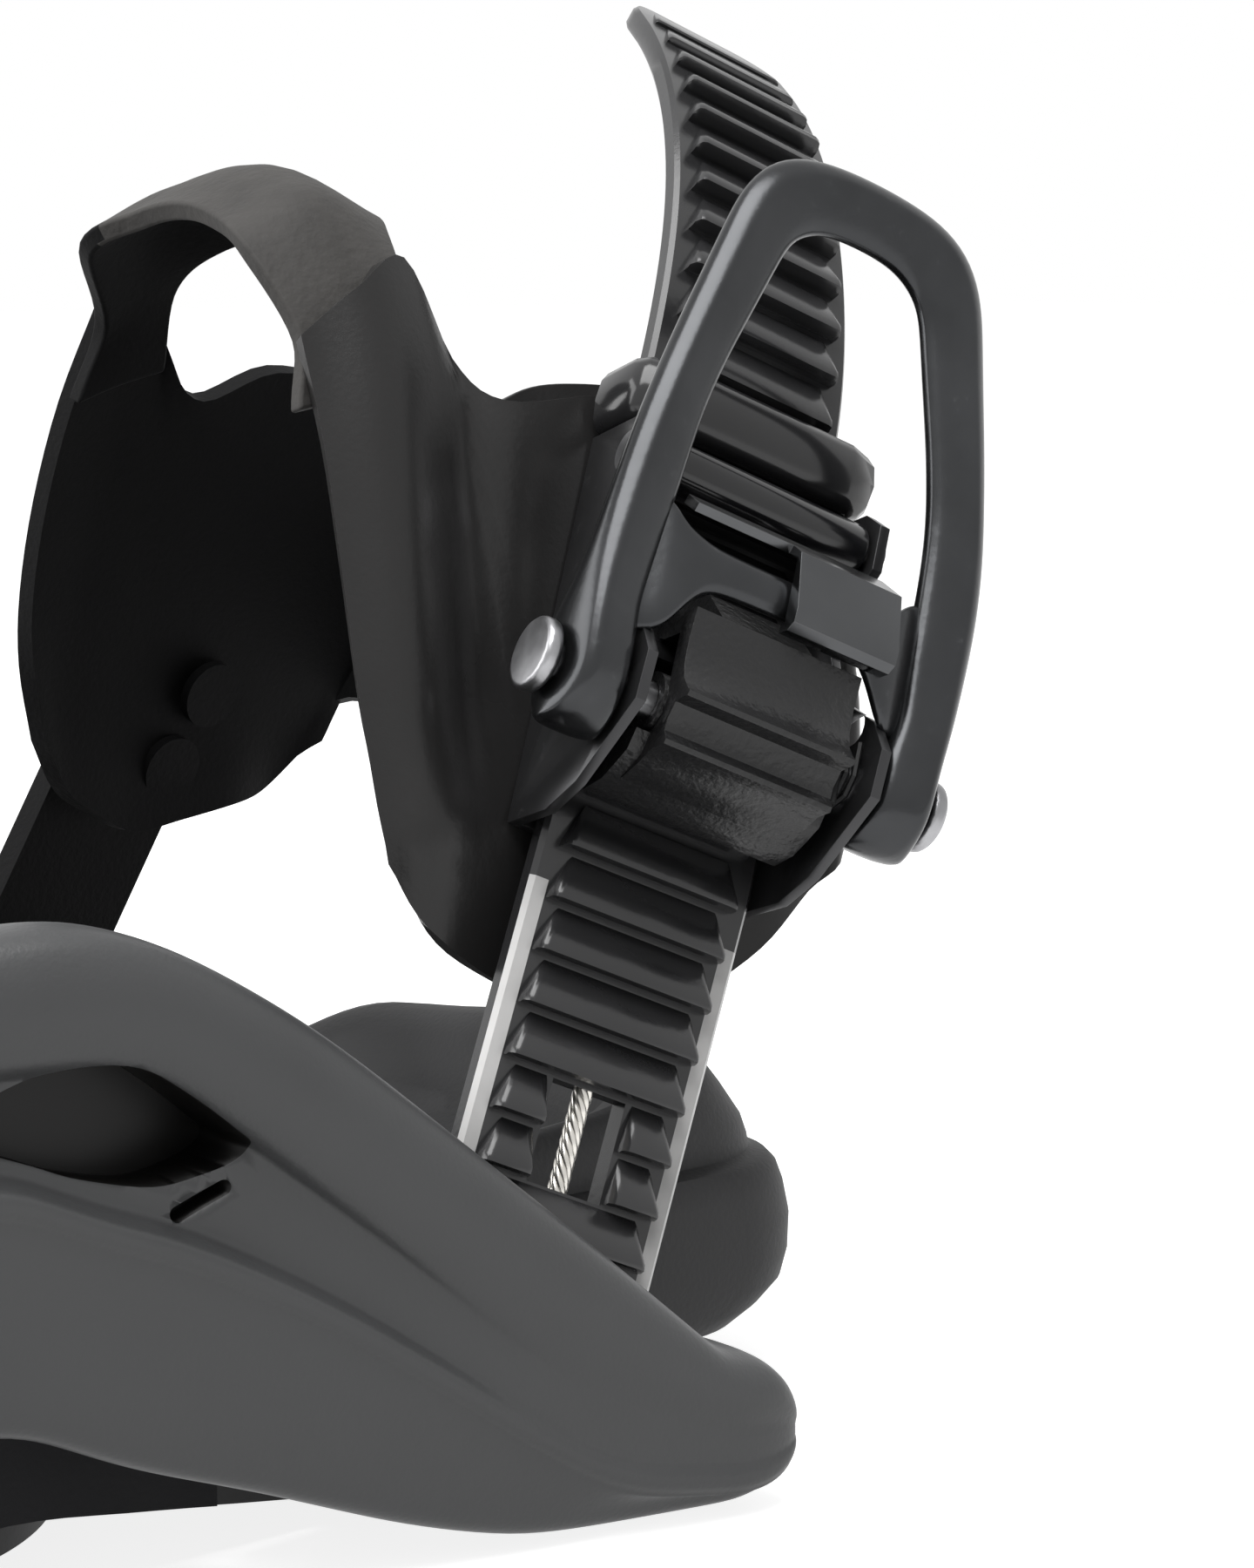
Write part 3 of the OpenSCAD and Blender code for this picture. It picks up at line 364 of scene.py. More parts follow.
def shell(name, grid, thick, rim, outside, inside):
    """A sheet of even thickness with rounded rims from a grid of points on its outer face, lined inside."""
    verts, faces = loft(grid, closed=False)
    me = bpy.data.meshes.new(name)
    me.from_pydata([Vector(v) * MM for v in verts], [], [f[::-1] for f in faces])
    for f in me.polygons:
        f.use_smooth = True
    for mat in (outside, inside):
        me.materials.append(FINISHES[mat])
    o = piece(name, me)
    modify(o, "SOLIDIFY", thickness=thick * MM, offset=-1.0, use_even_offset=True, use_quality_normals=True,
           material_offset=1, material_offset_rim=0)
    modify(o, "BEVEL", width=rim * MM, segments=3, limit_method="ANGLE", angle_limit=math.radians(50),
           harden_normals=True)
    return plain(o)


# Toe cap: near wing, front and far wing in one sheet, then the band over its top and the buckle's pocket

CAP_THICK, CAP_RIM = 2.2, 0.7
POCKET_THICK, POCKET_RIM = 1.6, 0.5
NEAR = [
    ([(-25.7, -9.1), (-29.5, -2.2), (-33.4, 6), (-38.3, 17.8), (-43.5, 30.1), (-48.2, 39.7)],
     [-4.4, -3, -2.6, -2.6, -2.8, -3.2]),
    ([(-20, -13.5), (-24.5, -4), (-29, 8), (-34, 21), (-39.5, 35), (-44.4, 46.2)],
     [-5.2, -2.2, -1.8, -1.8, -2, -3]),
    ([(-11.5, -15.4), (-16, -3), (-21, 11), (-26.5, 26), (-33, 41), (-39.6, 52.3)],
     [-5.4, -2.1, -1.75, -1.75, -1.9, -3.4]),
    ([(-3, -16), (-7, -1), (-12, 14), (-18, 27), (-25, 37.5), (-31, 45)],
     [-5.4, -2.1, -1.75, -1.75, -1.9, -3]),
    ([(5, -14.5), (2, 0), (-4, 15), (-11, 29), (-18.5, 38), (-24.8, 42.4)],
     [-5.2, -2.1, -1.75, -1.75, -1.9, -2.6]),
    ([(12, -10), (10, 3), (6, 17), (0, 30), (-8, 41), (-14.5, 47.4)],
     [-5, -2.1, -1.75, -1.75, -1.9, -2.8]),
    ([(18, -3), (17, 8), (14, 20), (10, 32), (4, 43), (-3, 51.5)],
     [-3, -1.9, -1.75, -1.75, -1.9, -3.2]),
    ([(22.5, 5), (22, 14), (20, 24), (17, 34), (13, 43), (8, 50)],
     [-3.2, -2.1, -1.9, -1.9, -2.2, -3.6]),
    ([(26.5, 11), (26, 18), (24.5, 26), (22, 33), (19, 40), (15, 46)],
     [-4.4, -3.2, -3, -3, -3.4, -4.6]),
]
FAR = [
    [(-21, -2), (-27, 5), (-32, 12.5), (-37, 22.5), (-41, 33.5), (-43.5, 45)],
    [(-15, -6), (-21, 4), (-26, 15), (-31, 27), (-36, 38), (-42, 50)],
    [(-9, -7), (-14, 5), (-19, 17), (-25, 30), (-31, 41), (-38, 52)],
    [(-2, -7), (-7, 6), (-12, 18), (-18, 29), (-25, 38), (-30.5, 44.5)],
    [(4.5, -3.5), (1, 8), (-4, 19), (-10, 30), (-17, 38), (-23.5, 41.8)],
    [(11, 0.5), (9, 10), (5, 20), (0, 31), (-8, 42), (-15.5, 49)],
    [(17, 4.5), (16, 12), (13, 21), (9, 31), (4, 42), (-3, 52)],
    [(21, 11), (21, 18), (19, 26), (16, 34), (12, 43), (8, 50)],
    [(24, 19), (24, 24), (23, 29), (21, 34), (18.5, 40), (15, 46)],
]
FRONT = [[Vector(v) for v in row] for row in (
    ((124, -24, 65), (126, -23.5, 70), (127, -23, 75), (127.3, -22, 80), (127, -21, 84), (126, -21, 87)),
    ((128, 0, 64), (130, 0, 68), (131, 0, 72), (131.3, 0, 76), (131, 0, 80), (130, 0, 83)))]


def wing_line(pts, ks):
    """A line up the near wing, from points across and along the buckle and how far out each lies."""
    return [buckle(p, b, k) for (p, b), k in zip(pts, ks)]


def far_side(line):
    return [mirror_y(v) for v in line]


cap_rows = [wing_line(*e) for e in NEAR] + FRONT + [far_side(FRONT[0])]
cap_rows += [far_side(wing_line(FAR[i], NEAR[i][1])) for i in range(len(FAR) - 1, -1, -1)]

NEAR_WING_END = -10
RIDGE_FROM, RIDGE_TO = Vector((-17, 3)), Vector((-24, -7))
RIDGE_HIGH, RIDGE_WIDE = 0.9, 3.2
SWELL_HIGH, SWELL_WIDE = 2.0, 5.5
FOLD_DEEP, FOLD_WIDE = 1.3, 3.2


def hump(distance, width):
    return math.exp(-(distance / width) ** 2)


def pucker(v):
    """The near wing's folds: a ridge from the buckle's lower corner to the cap's lower heel corner, a swell
    along its heel edge and a fold beside the buckle."""
    if v.y > NEAR_WING_END:
        return v
    d = v - ENTRY
    p, b = d.dot(ACROSS), d.dot(ALONG)
    at, run = Vector((p, b)) - RIDGE_FROM, RIDGE_TO - RIDGE_FROM
    t = clamp(at.dot(run) / run.length_squared)
    ridge = RIDGE_HIGH * hump((at - t * run).length, RIDGE_WIDE) * (0.5 + 0.5 * t)
    swell = SWELL_HIGH * hump(p + 25 + 0.375 * b, SWELL_WIDE)
    fold = FOLD_DEEP * hump(p + 17 + 0.3 * b, FOLD_WIDE) * clamp((b + 4) / 10)
    return v + (ridge + swell - fold) * OUTWARDS


def shade_far_side(o, start, level):
    """Painted shade on the far side: its faces take the dark lining's finish, apart from faces that look
    outwards or, with level, upwards.
    """
    for f in o.data.polygons:
        if f.center.y > start * MM and f.normal.y < 0.6 and (not level or f.normal.z < level):
            f.material_index = 1


cap_grid = [[pucker(v) for v in r] for r in smooth_grid(cap_rows, across=5, along=4)]
cap = shell("cap_wings", cap_grid, CAP_THICK, CAP_RIM, "cap", "liner_and_shade")
# The cap's far rims and inward faces take the lining's dark finish as painted shade
shade_far_side(cap, 10, None)
finish_piece(cap, None, "strap", "toe_cap")

BAND = [
    [buckle(-33, 42, -5.2), buckle(-40, 37, -5), buckle(-45.5, 33, -5)],
    [buckle(-38.5, 52, -4.9), buckle(-43.4, 46.5, -4.7), buckle(-47.8, 40.5, -4.6)],
    [Vector((73, -15, 125.6)), Vector((63.5, -15.5, 128.6)), Vector((54, -15.5, 124.8))],
    [Vector((77.6, -7, 127.4)), Vector((66, -7, 132)), Vector((55.5, -7, 128))],
    [Vector((79, 0, 127.6)), Vector((67, 0, 133)), Vector((56, 0, 129))],
]
FAR_BAND = [far_side(line) for line in (
    BAND[3], BAND[2], (buckle(-37.5, 51.5, -4.9), buckle(-41.5, 48, -4.8), buckle(-44, 43, -4.7)),
    (buckle(-33, 42, -5), buckle(-38, 38, -5), buckle(-42, 34, -5)))]
band_grid = smooth_grid(BAND + FAR_BAND, across=7, along=6)
band = shell("cap_band", band_grid, CAP_THICK, CAP_RIM, "band", "liner_and_shade")
# The band's far side takes the lining's dark finish as painted shade, apart from faces that look outwards or
# upwards
shade_far_side(band, 12, 0.6)
finish_piece(band, None, "strap")

POCKET = [[buckle(-26, 36, -5), buckle(-25.5, 40, -5.4), buckle(-25, 42.5, -6)],
          [buckle(-20, 38, -6), buckle(-19.6, 43, -7.4), buckle(-19.4, 48.2, -8.6)],
          [buckle(-13.5, 41, -6.4), buckle(-13, 46, -8), buckle(-13, 51.6, -9.4)],
          [buckle(-6, 44, -6), buckle(-5.6, 49, -7.6), buckle(-5.5, 54, -9)]]
pocket = shell("cap_pocket", smooth_grid(POCKET, across=6, along=5), POCKET_THICK, POCKET_RIM, "cap", "cap")
finish_piece(pocket, None, "strap")


# Rails and tray

rail_top = through([(-85, 65), (0, 65), (7, 65.5), (14.5, 64), (30, 55.5), (46, 42.5), (63, 28), (76, 16.5)])
rail_bottom = through([(-85, 20), (0, 20), (14, 14.5), (27, 10), (43, 4), (56, 1), (76, 0.6)])
rail_crease = through([(-85, 43.5), (0, 43.5), (8, 39.8), (17, 36.4), (31, 28.8), (44, 20), (54, 12.8),
                       (64, 7.4), (76, 5.5)])
bar_bottom = through([(-85, 52.6), (0, 52.6), (9, 52.6), (14, 51.8), (18.5, 49), (25, 44), (31, 39),
                      (38, 33.4), (44, 28), (51, 22), (60, 15), (69, 10.5), (76, 8.5)])
recess = through([(-85, 3.2), (20, 3.2), (32, 2.4), (44, 1.5), (52, 0.7), (60, 0.2), (76, 0.1)])
rail_width = through([(-85, 10), (8, 10), (22, 11), (40, 9), (60, 6.5), (73, 6.5), (77, 15)])
slit_back = through([(14, -44.6), (50, -44.6), (62, -49.6), (78, -54.6)])
LEAF = [(-5, 48.4), (0, 50.4), (5, 52.3), (9.5, 52.9), (14, 52.2), (18.5, 49.4), (23.2, 45.6), (25, 43.8),
        (24, 42.4), (21, 41.4), (16, 40.8), (9, 42.4), (4.5, 44.2), (0, 46)]
RAIL_STEPS = [-85, -84.4, -60, -30, -20, -10, 0, 5, 10, 15, 20, 26, 33, 40, 47, 54, 61, 66, 70, 73, 75, 77]
RAIL_NOSE = 7.2
WALL_STEPS = [14, 18, 24, 29.9, 30, 40, 48, 54, 60, 66, 72, 78]
FLOOR_STEPS = [32, 40, 50, 60, 70, 78]
HEEL_HOLES, HEEL_HOLE_Z, HEEL_HOLE_R, HEEL_HOLE_Y = (-71, -49), 40, 3.1, (-60, -35)
LEAF_X, LEAF_OUT, LEAF_DEEP = 12, -70, 8.5
VENT, VENT_X, VENT_OUT, VENT_DEEP = (18.2, 38, 22.8, 39.9, 0.75), 22, -75, 6
TRAY_END, TRAY_TOP, TRAY_HALF = 90, 25, 41.4


def rail_section(x):
    """The near rail's outline as (inward, up): underside, lower panel, crease, recess and round top bar."""
    top, low, crease, bar = rail_top(x), rail_bottom(x), rail_crease(x), bar_bottom(x)
    deep, wide = recess(x), rail_width(x)
    rise = top - bar
    return [(wide, low + 1), (wide - 2, low), (4, low), (2.2, low + 0.6), (1.5, low + 2.5),
            (0.7, (low + crease) / 2), (0.3, crease - 3.2), (0.25, crease - 2.7), (-0.3, crease - 2.1),
            (-0.35, crease - 0.7), (0.2, crease + 0.1), (deep * 0.8, crease + 0.9), (deep, crease + 1.8),
            (deep, bar - 0.9), (deep * 0.85, bar - 0.2), (0.2, bar + 0.8), (-0.6, bar + 0.36 * rise),
            (-0.3, bar + 0.62 * rise), (0.9, bar + 0.84 * rise), (2.2, top - 0.7), (4.2, top),
            (wide - 1.2, top), (wide, top - 1.2)]


def slit_wall(x):
    """The inner wall of the ladder's slit, as (inward, up)."""
    o = slit_back(x) - rail_y(x)
    low, top = max(20 if x < 30 else 5, rail_bottom(x) + 0.5), rail_top(x) - 0.6
    return [(o, low), (o + 2.6, low), (o + 2.6, top - 1), (o + 1.9, top), (o + 0.7, top), (o, top - 1)]


def slit_floor(x):
    """The floor between the rail and the slit's inner wall, as (inward, up)."""
    low, back = rail_bottom(x) + 0.5, slit_back(x) - rail_y(x) + 1
    return [(5, low), (back, low), (back, low + 4), (5, low + 4)]


def placed(section, x):
    """A section's points at a place along the near rail."""
    return [Vector((x, rail_y(x) + o, z)) for o, z in section]


def lofted(name, section, xs, nose=0.0):
    """A skin over a section along the near rail, ending in a round nose if asked."""
    rings = [placed(section(x), x) for x in xs]
    if nose:
        last = section(xs[-1])
        mid_o = sum(o for o, z in last) / len(last)
        mid_z = sum(z for o, z in last) / len(last)
        for t in (0.4, 0.7, 0.88, 0.97):
            s = math.sqrt(1 - t * t)
            smaller = [(mid_o + s * (o - mid_o), mid_z + s * (z - mid_z)) for o, z in last]
            rings.append(placed(smaller, xs[-1] + nose * t))
    return skin(name, rings)


def cutter(name, outline, y0, y1):
    """A prism along y, from an outline as (x, z)."""
    return skin(name, [[Vector((x, y, z)) for x, z in outline] for y in (y0, y1)])


def cut(o, tool, how="DIFFERENCE", inside=None):
    """Cuts one piece with another; the cut faces can have a finish of their own."""
    if inside:
        tool.data.materials.append(FINISHES[inside])
    modify(o, "BOOLEAN", object=tool, operation=how, solver="EXACT",
           material_mode="TRANSFER" if inside else "INDEX")
    plain(o)
    bpy.data.objects.remove(tool)


def circle(x, z, r, n=32):
    """The outline of a round hole."""
    return [(x + r * math.cos(2 * math.pi * i / n), z + r * math.sin(2 * math.pi * i / n)) for i in range(n)]


def slot(x0, z0, x1, z1, r, n=8):
    """The outline of a slot with round ends."""
    a = math.atan2(z1 - z0, x1 - x0)
    ends = [(x1, z1, a - math.pi / 2), (x0, z0, a + math.pi / 2)]
    return [(x + r * math.cos(b + math.pi * i / n), z + r * math.sin(b + math.pi * i / n))
            for x, z, b in ends for i in range(n + 1)]


def round_line(pts, n=5):
    """A closed smooth outline through points."""
    flat = [Vector(p) for p in pts]
    line = spline(flat[-2:] + flat + flat[:2], n)
    return [tuple(p) for p in line[2 * n:-2 * n + n - 1]]


rail = subdivided(lofted("rail", rail_section, RAIL_STEPS, RAIL_NOSE))
rail.data.materials.append(FINISHES["chassis"])
# The faces cut into the leaf and vent take the near-black finish as painted shade
cut(rail, cutter("leaf", round_line(LEAF), LEAF_OUT, rail_y(LEAF_X) + LEAF_DEEP), inside="hollow")
cut(rail, cutter("vent", slot(*VENT), VENT_OUT, rail_y(VENT_X) + VENT_DEEP), inside="hollow")
for x in HEEL_HOLES:
    cut(rail, cutter("heel_hole", circle(x, HEEL_HOLE_Z, HEEL_HOLE_R), *HEEL_HOLE_Y))
wall = lofted("wall", slit_wall, WALL_STEPS)
floor_strip = lofted("slit_floor", slit_floor, FLOOR_STEPS)

pad_edge = through([(-90, 1.6), (-70, 2.2), (-45, 4.2), (-20, 6.8), (-6, 8.2), (5, 8.9), (20, 7.2), (36, 4.8),
                    (49, 3), (60, 2), (90, 1.6)])
PAD_SIDE = 45.4
PAD_RISE = 0.28
UNDERCUT_OUT, UNDERCUT_LOW = 60, -5


def undercut(side):
    """The space below the pad's lower side edges, which rise in an arch between heel and toes."""
    rings = []
    for x in range(-TRAY_END, TRAY_END + 1, 3):
        start = PAD_SIDE - pad_edge(x) / PAD_RISE
        section = ((start, 0), (UNDERCUT_OUT, (UNDERCUT_OUT - start) * PAD_RISE),
                   (UNDERCUT_OUT, UNDERCUT_LOW), (start, UNDERCUT_LOW))
        rings.append([Vector((x, side * y, z)) for y, z in section])
    return skin("undercut", rings)


tray = piece("tray", welded("chassis"))
pad = piece("pad_look", welded("base_pad"))
for side in (-1, 1):
    cut(tray, undercut(side))
    cut(pad, undercut(side))
finish_piece(pad, "pad", "base", "base_pad")
tray_side = [(-TRAY_END, 0), (TRAY_END, 0), (TRAY_END, TRAY_TOP), (-TRAY_END, TRAY_TOP)]
cut(tray, cutter("tray_box", tray_side, -TRAY_HALF, TRAY_HALF), "INTERSECT")


def joined(name, parts, both):
    """One piece of several, those in both also mirrored to the far side."""
    bm = bmesh.new()
    for o in parts + both:
        bm.from_mesh(o.data)
    flip = Matrix.Scale(-1, 4, (0, 1, 0))
    for o in both:
        me = o.data.copy()
        me.transform(flip)
        me.flip_normals()
        bm.from_mesh(me)
    for f in bm.faces:
        f.smooth = True
    me = bpy.data.meshes.new(name)
    bm.to_mesh(me)
    bm.free()
    for o in parts + both:
        bpy.data.objects.remove(o)
    return piece(name, me)


CHASSIS_SLOTS = ("chassis", "hollow", "strap")
# The tray's faces take the near-black strap finish, darker than the rail
for f in tray.data.polygons:
    f.material_index = CHASSIS_SLOTS.index("strap")
base = joined("chassis_look", [tray], [rail, wall, floor_strip])
for mat in CHASSIS_SLOTS:
    base.data.materials.append(FINISHES[mat])
sharp_by_angle(base, 32)
finish_piece(base, None, "base", "chassis")


# Toe ramp: a bumper below a shelf, and a lip round a dish on top

RAMP_OUTSIDE = [(5.8, 10, 4), (6.6, 6.5, 2), (8.6, 3.5, 1), (11, 1, 0.3), (14, 0.2, 0), (18, 0, 0),
                (21.5, 0.9, 0), (23.8, 1.8, 0.2), (24.8, 2.6, 0.8), (25, 3.2, 2.2), (25.4, 3.5, 2.9),
                (26.5, 3.6, 3), (29, 4.8, 2.8), (33, 7.8, 3), (36, 10.2, 3.4), (37.5, 12.4, 4.2),
                (38, 14, 5), (37.6, 16, 6)]
RAMP_DISH = [(36, 19, 8, 4), (28, 21, 8.6, 6), (25, 22, 9.4, 6.6), (24.2, 25, 12, 9)]
RAMP_HEEL, RAMP_TOE, RAMP_HALF, RAMP_CORNER = 42.4, 118, 36, 13
RAMP_SHELF, RAMP_HIGH = 25, 38
RAMP_FLOOR, RAMP_FLOOR_END = 7, 84
RAMP_TILT = 3.4
ramp_top = through([(42, 30), (88, 33), (104, 38), (118, 38)])
ramp_fall = through([(42, 0), (70, 0), (100, 1), (118, 1)])
ramp_side = through([(-36, 0), (-10, 0), (26, 1), (36, 1)])


def ramp_ring(z, back, inset, heel=0.0):
    """The ramp's outline at a height, set back from its toe, sides and heel. It stands on the tray's floor,
    its top falls towards the heel, and its far front corner is lower."""
    x0, x1, half, r = RAMP_HEEL + heel, RAMP_TOE - back, RAMP_HALF - inset, RAMP_CORNER
    side = [(x0 + (x1 - r - x0) * i / 10, -half) for i in range(10)]
    angles = [math.pi / 20 * i for i in range(11)]
    corner = [(x1 - r + r * math.sin(a), -half + r - r * math.cos(a)) for a in angles]
    front = [(x1, -half + r + (2 * half - 2 * r) * i / 8) for i in range(1, 5)]
    near = side + corner + front
    far = [(x, -y) for x, y in reversed(near[:-1])]
    heel_side = [(x0, half - 2 * half * i / 6) for i in range(1, 6)]
    flat = near + far + heel_side
    if z <= RAMP_SHELF:
        return [Vector((x, y, max(z, RAMP_FLOOR) if x < RAMP_FLOOR_END else z)) for x, y in flat]
    share = (z - RAMP_SHELF) / (RAMP_HIGH - RAMP_SHELF)
    tops = [ramp_top(x) - RAMP_TILT * ramp_fall(x) * ramp_side(y) - RAMP_SHELF for x, y in flat]
    return [Vector((x, y, RAMP_SHELF + share * top)) for (x, y), top in zip(flat, tops)]


ramp = skin("ramp_look", [ramp_ring(*e) for e in RAMP_OUTSIDE + RAMP_DISH])
sharp_by_angle(ramp, 50)
finish_piece(ramp, "ramp", "base", "toe_ramp")


# Ladder: a strip with flat margins, and lamellar teeth along it

STRIP_EDGE = 0.5
TOOTH_PITCH = 5.4
TOOTH_FROM = 11.8
TOOTH_HALF, SPLIT_IN = 10.4, 4.6
OUTER_DRAW, INNER_DRAW = 0.9, 0.25
TOOTH_STEPS = ((0, 0, 0.3), (0, 0.62, 0), (0.18, 0.96, 0), (0.8, 1, 0.1), (2.6, 0.6, 0.8), (4.4, 0.18, 1.6),
               (4.9, 0, 1.9))
LADDER_HALF = 12.5
TIP_R = 6.0
STRAIGHT_B = 51
CURL_R = 68
CURL_ANGLE = math.radians(53)
TIP_S = ENTRY_S + STRAIGHT_B + CURL_ANGLE * CURL_R
SLIM_SHIFT = 6
MARGIN_SHEEN_IN, MARGIN_SHEEN_END = 10.6, 46
# How far in from the edges, and how far from the anchor, the margins take the painted reflection
WINDOW_HALF = 4.3
ROPE_FROM, ROPE_LONG, ROPE_GRIP = 17, 10.5, 7
STRANDS, STRAND_R, LAY_R, LAY_LONG = 6, 0.42, 0.62, 7.0


def along_ladder(s):
    """The ladder's back at a length from the anchor: its place, and the directions along and outwards."""
    tilt, p = 0.0, Vector((0, s, -LADDER_H / 2))
    b = s - ENTRY_S
    if b > 0:
        tilt = ENTRY_BEND
        p = Vector((0, ENTRY_S + b * math.cos(tilt), -LADDER_H / 2 - b * math.sin(tilt)))
    if b > STRAIGHT_B:
        end = Vector((0, ENTRY_S + STRAIGHT_B * math.cos(tilt), -LADDER_H / 2 - STRAIGHT_B * math.sin(tilt)))
        centre = end - CURL_R * Vector((0, math.sin(tilt), math.cos(tilt)))
        tilt += (b - STRAIGHT_B) / CURL_R
        p = centre + CURL_R * Vector((0, math.sin(tilt), math.cos(tilt)))
    return p, Vector((0, math.cos(tilt), -math.sin(tilt))), Vector((0, math.sin(tilt), math.cos(tilt)))


slimness = through([(90, 1), (105, 0.97), (130, 0.88), (166, 0.8)])


def on_ladder(across, s, k):
    """A point on the ladder, which gets slimmer towards its tip, mostly on one side."""
    p, _, out = along_ladder(s)
    return STRAP @ (p + Vector((across * slimness(s) - SLIM_SHIFT * (1 - slimness(s)), 0, 0)) + k * out)


def strip_half(s):
    """Half width of the strip, with rounded corners at its tip."""
    d = TIP_S - s
    return LADDER_HALF - (TIP_R - math.sqrt(max(0, TIP_R * TIP_R - (TIP_R - d) ** 2)) if d < TIP_R else 0)


def strip_ring(s):
    """The strip's section at a length from the anchor."""
    w, t, e = strip_half(s), STRIP_T, STRIP_EDGE
    flat = [(-w + e, 0), (w - e, 0), (w, e), (w, t - e), (w - e, t), (w - 2, t), (2 - w, t), (e - w, t),
            (-w, t - e), (-w, e)]
    return [on_ladder(p, s, k) for p, k in flat]


strip_steps = [i * 2.0 for i in range(int(TIP_S / 2) - 3)]
strip_steps += [TIP_S - d for d in (6, 5, 4, 3, 2, 1.2, 0.6, 0.2, 0.01)]
strip = skin("ladder_strip", [strip_ring(s) for s in strip_steps])
window = [(-WINDOW_HALF, ROPE_FROM), (WINDOW_HALF, ROPE_FROM), (WINDOW_HALF, ROPE_FROM + ROPE_LONG),
          (-WINDOW_HALF, ROPE_FROM + ROPE_LONG)]
cut(strip, skin("window", [[on_ladder(p, s, k) for p, s in window] for k in (-2, 8)]))


def tooth(name, lo, hi):
    """One tooth on its own: steep towards the anchor, sloping the other way, narrower at its low end."""
    rings = []
    for s, h, draw in TOOTH_STEPS:
        top = TOOTH_H * h
        a = lo + draw * (OUTER_DRAW if lo == -TOOTH_HALF else INNER_DRAW)
        b = hi - draw * (OUTER_DRAW if hi == TOOTH_HALF else INNER_DRAW)
        section = ((a, -0.2), (b, -0.2), (b, top * 0.55), (b - 0.35, top * 0.9), (b - 0.9, top),
                   (a + 0.9, top), (a + 0.35, top * 0.9), (a, top * 0.55))
        rings.append([Vector((p, s, k)) for p, k in section])
    return skin(name, rings)


def nodes_tree(name, **inputs):
    """An empty Geometry Nodes tree with named inputs and one geometry output."""
    t = bpy.data.node_groups.new(name, "GeometryNodeTree")
    for label, kind in inputs.items():
        t.interface.new_socket(label.replace("_", " "), in_out="INPUT", socket_type="NodeSocket" + kind)
    t.interface.new_socket("Geometry", in_out="OUTPUT", socket_type="NodeSocketGeometry")
    return t, t.nodes.new("NodeGroupInput"), t.nodes.new("NodeGroupOutput")


def run_tree(o, tree, values):
    """A plain mesh from a tree, with its named inputs set."""
    m = o.modifiers.new(tree.name, "NODES")
    m.node_group = tree
    for item in tree.interface.items_tree:
        if item.in_out == "INPUT" and item.name in values:
            m[item.identifier] = values[item.name]
    return plain(o)


def tooth_row():
    """Teeth on points that carry their direction along the ladder, whole or split at the rope's window."""
    t, i, o = nodes_tree("ladder_teeth", Geometry="Geometry", Whole_tooth="Object", Split_tooth="Object",
                         Across="Vector", Finish="Material")
    along, height, slim, split = [
        add(t, "GeometryNodeInputNamedAttribute", {"Name": label}, data_type=kind).outputs["Attribute"]
        for label, kind in (("along", "FLOAT_VECTOR"), ("height", "FLOAT"), ("slim", "FLOAT"),
                            ("split", "BOOLEAN"))]
    spin = add(t, "FunctionNodeAxesToRotation", primary_axis="Y", secondary_axis="X")
    size = add(t, "ShaderNodeCombineXYZ", {"Y": 1.0})
    whole = add(t, "FunctionNodeBooleanMath", operation="NOT")
    join = add(t, "GeometryNodeJoinGeometry")
    real = add(t, "GeometryNodeRealizeInstances")
    finish = add(t, "GeometryNodeSetMaterial")
    link(t, along, spin.inputs[0])
    link(t, i.outputs["Across"], spin.inputs[1])
    link(t, height, size.inputs["Z"])
    link(t, slim, size.inputs["X"])
    link(t, split, whole.inputs[0])
    for label, chosen in (("Whole tooth", whole.outputs[0]), ("Split tooth", split)):
        shape = add(t, "GeometryNodeObjectInfo")
        stand = add(t, "GeometryNodeInstanceOnPoints")
        link(t, i.outputs[label], shape.inputs["Object"])
        link(t, i.outputs["Geometry"], stand.inputs["Points"])
        link(t, chosen, stand.inputs["Selection"])
        link(t, shape.outputs["Geometry"], stand.inputs["Instance"])
        link(t, spin.outputs[0], stand.inputs["Rotation"])
        link(t, size.outputs["Vector"], stand.inputs["Scale"])
        link(t, stand.outputs["Instances"], join.inputs["Geometry"])
    link(t, join.outputs["Geometry"], real.inputs["Geometry"])
    link(t, real.outputs["Geometry"], finish.inputs["Geometry"])
    link(t, i.outputs["Finish"], finish.inputs["Material"])
    link(t, finish.outputs["Geometry"], o.inputs["Geometry"])
    return t


tooth_places = []
while TOOTH_FROM + len(tooth_places) * TOOTH_PITCH < TIP_S - 6:
    tooth_places.append(TOOTH_FROM + len(tooth_places) * TOOTH_PITCH)
tooth_points = bpy.data.meshes.new("tooth_points")
tooth_points.from_pydata([on_ladder(0, s, STRIP_T) * MM for s in tooth_places], [], [])
for label, kind, value in (("along", "FLOAT_VECTOR", lambda s: STRAP_TURN @ along_ladder(s)[1]),
                           ("height", "FLOAT", lambda s: max(0.25, min(1, (TIP_S - 5 - s) / 22))),
                           ("slim", "FLOAT", slimness),
                           ("split", "BOOLEAN", lambda s: ROPE_FROM - 4 < s < ROPE_FROM + ROPE_LONG - 1)):
    layer = tooth_points.attributes.new(label, kind, "POINT")
    for d, s in zip(layer.data, tooth_places):
        setattr(d, "vector" if kind == "FLOAT_VECTOR" else "value", value(s))

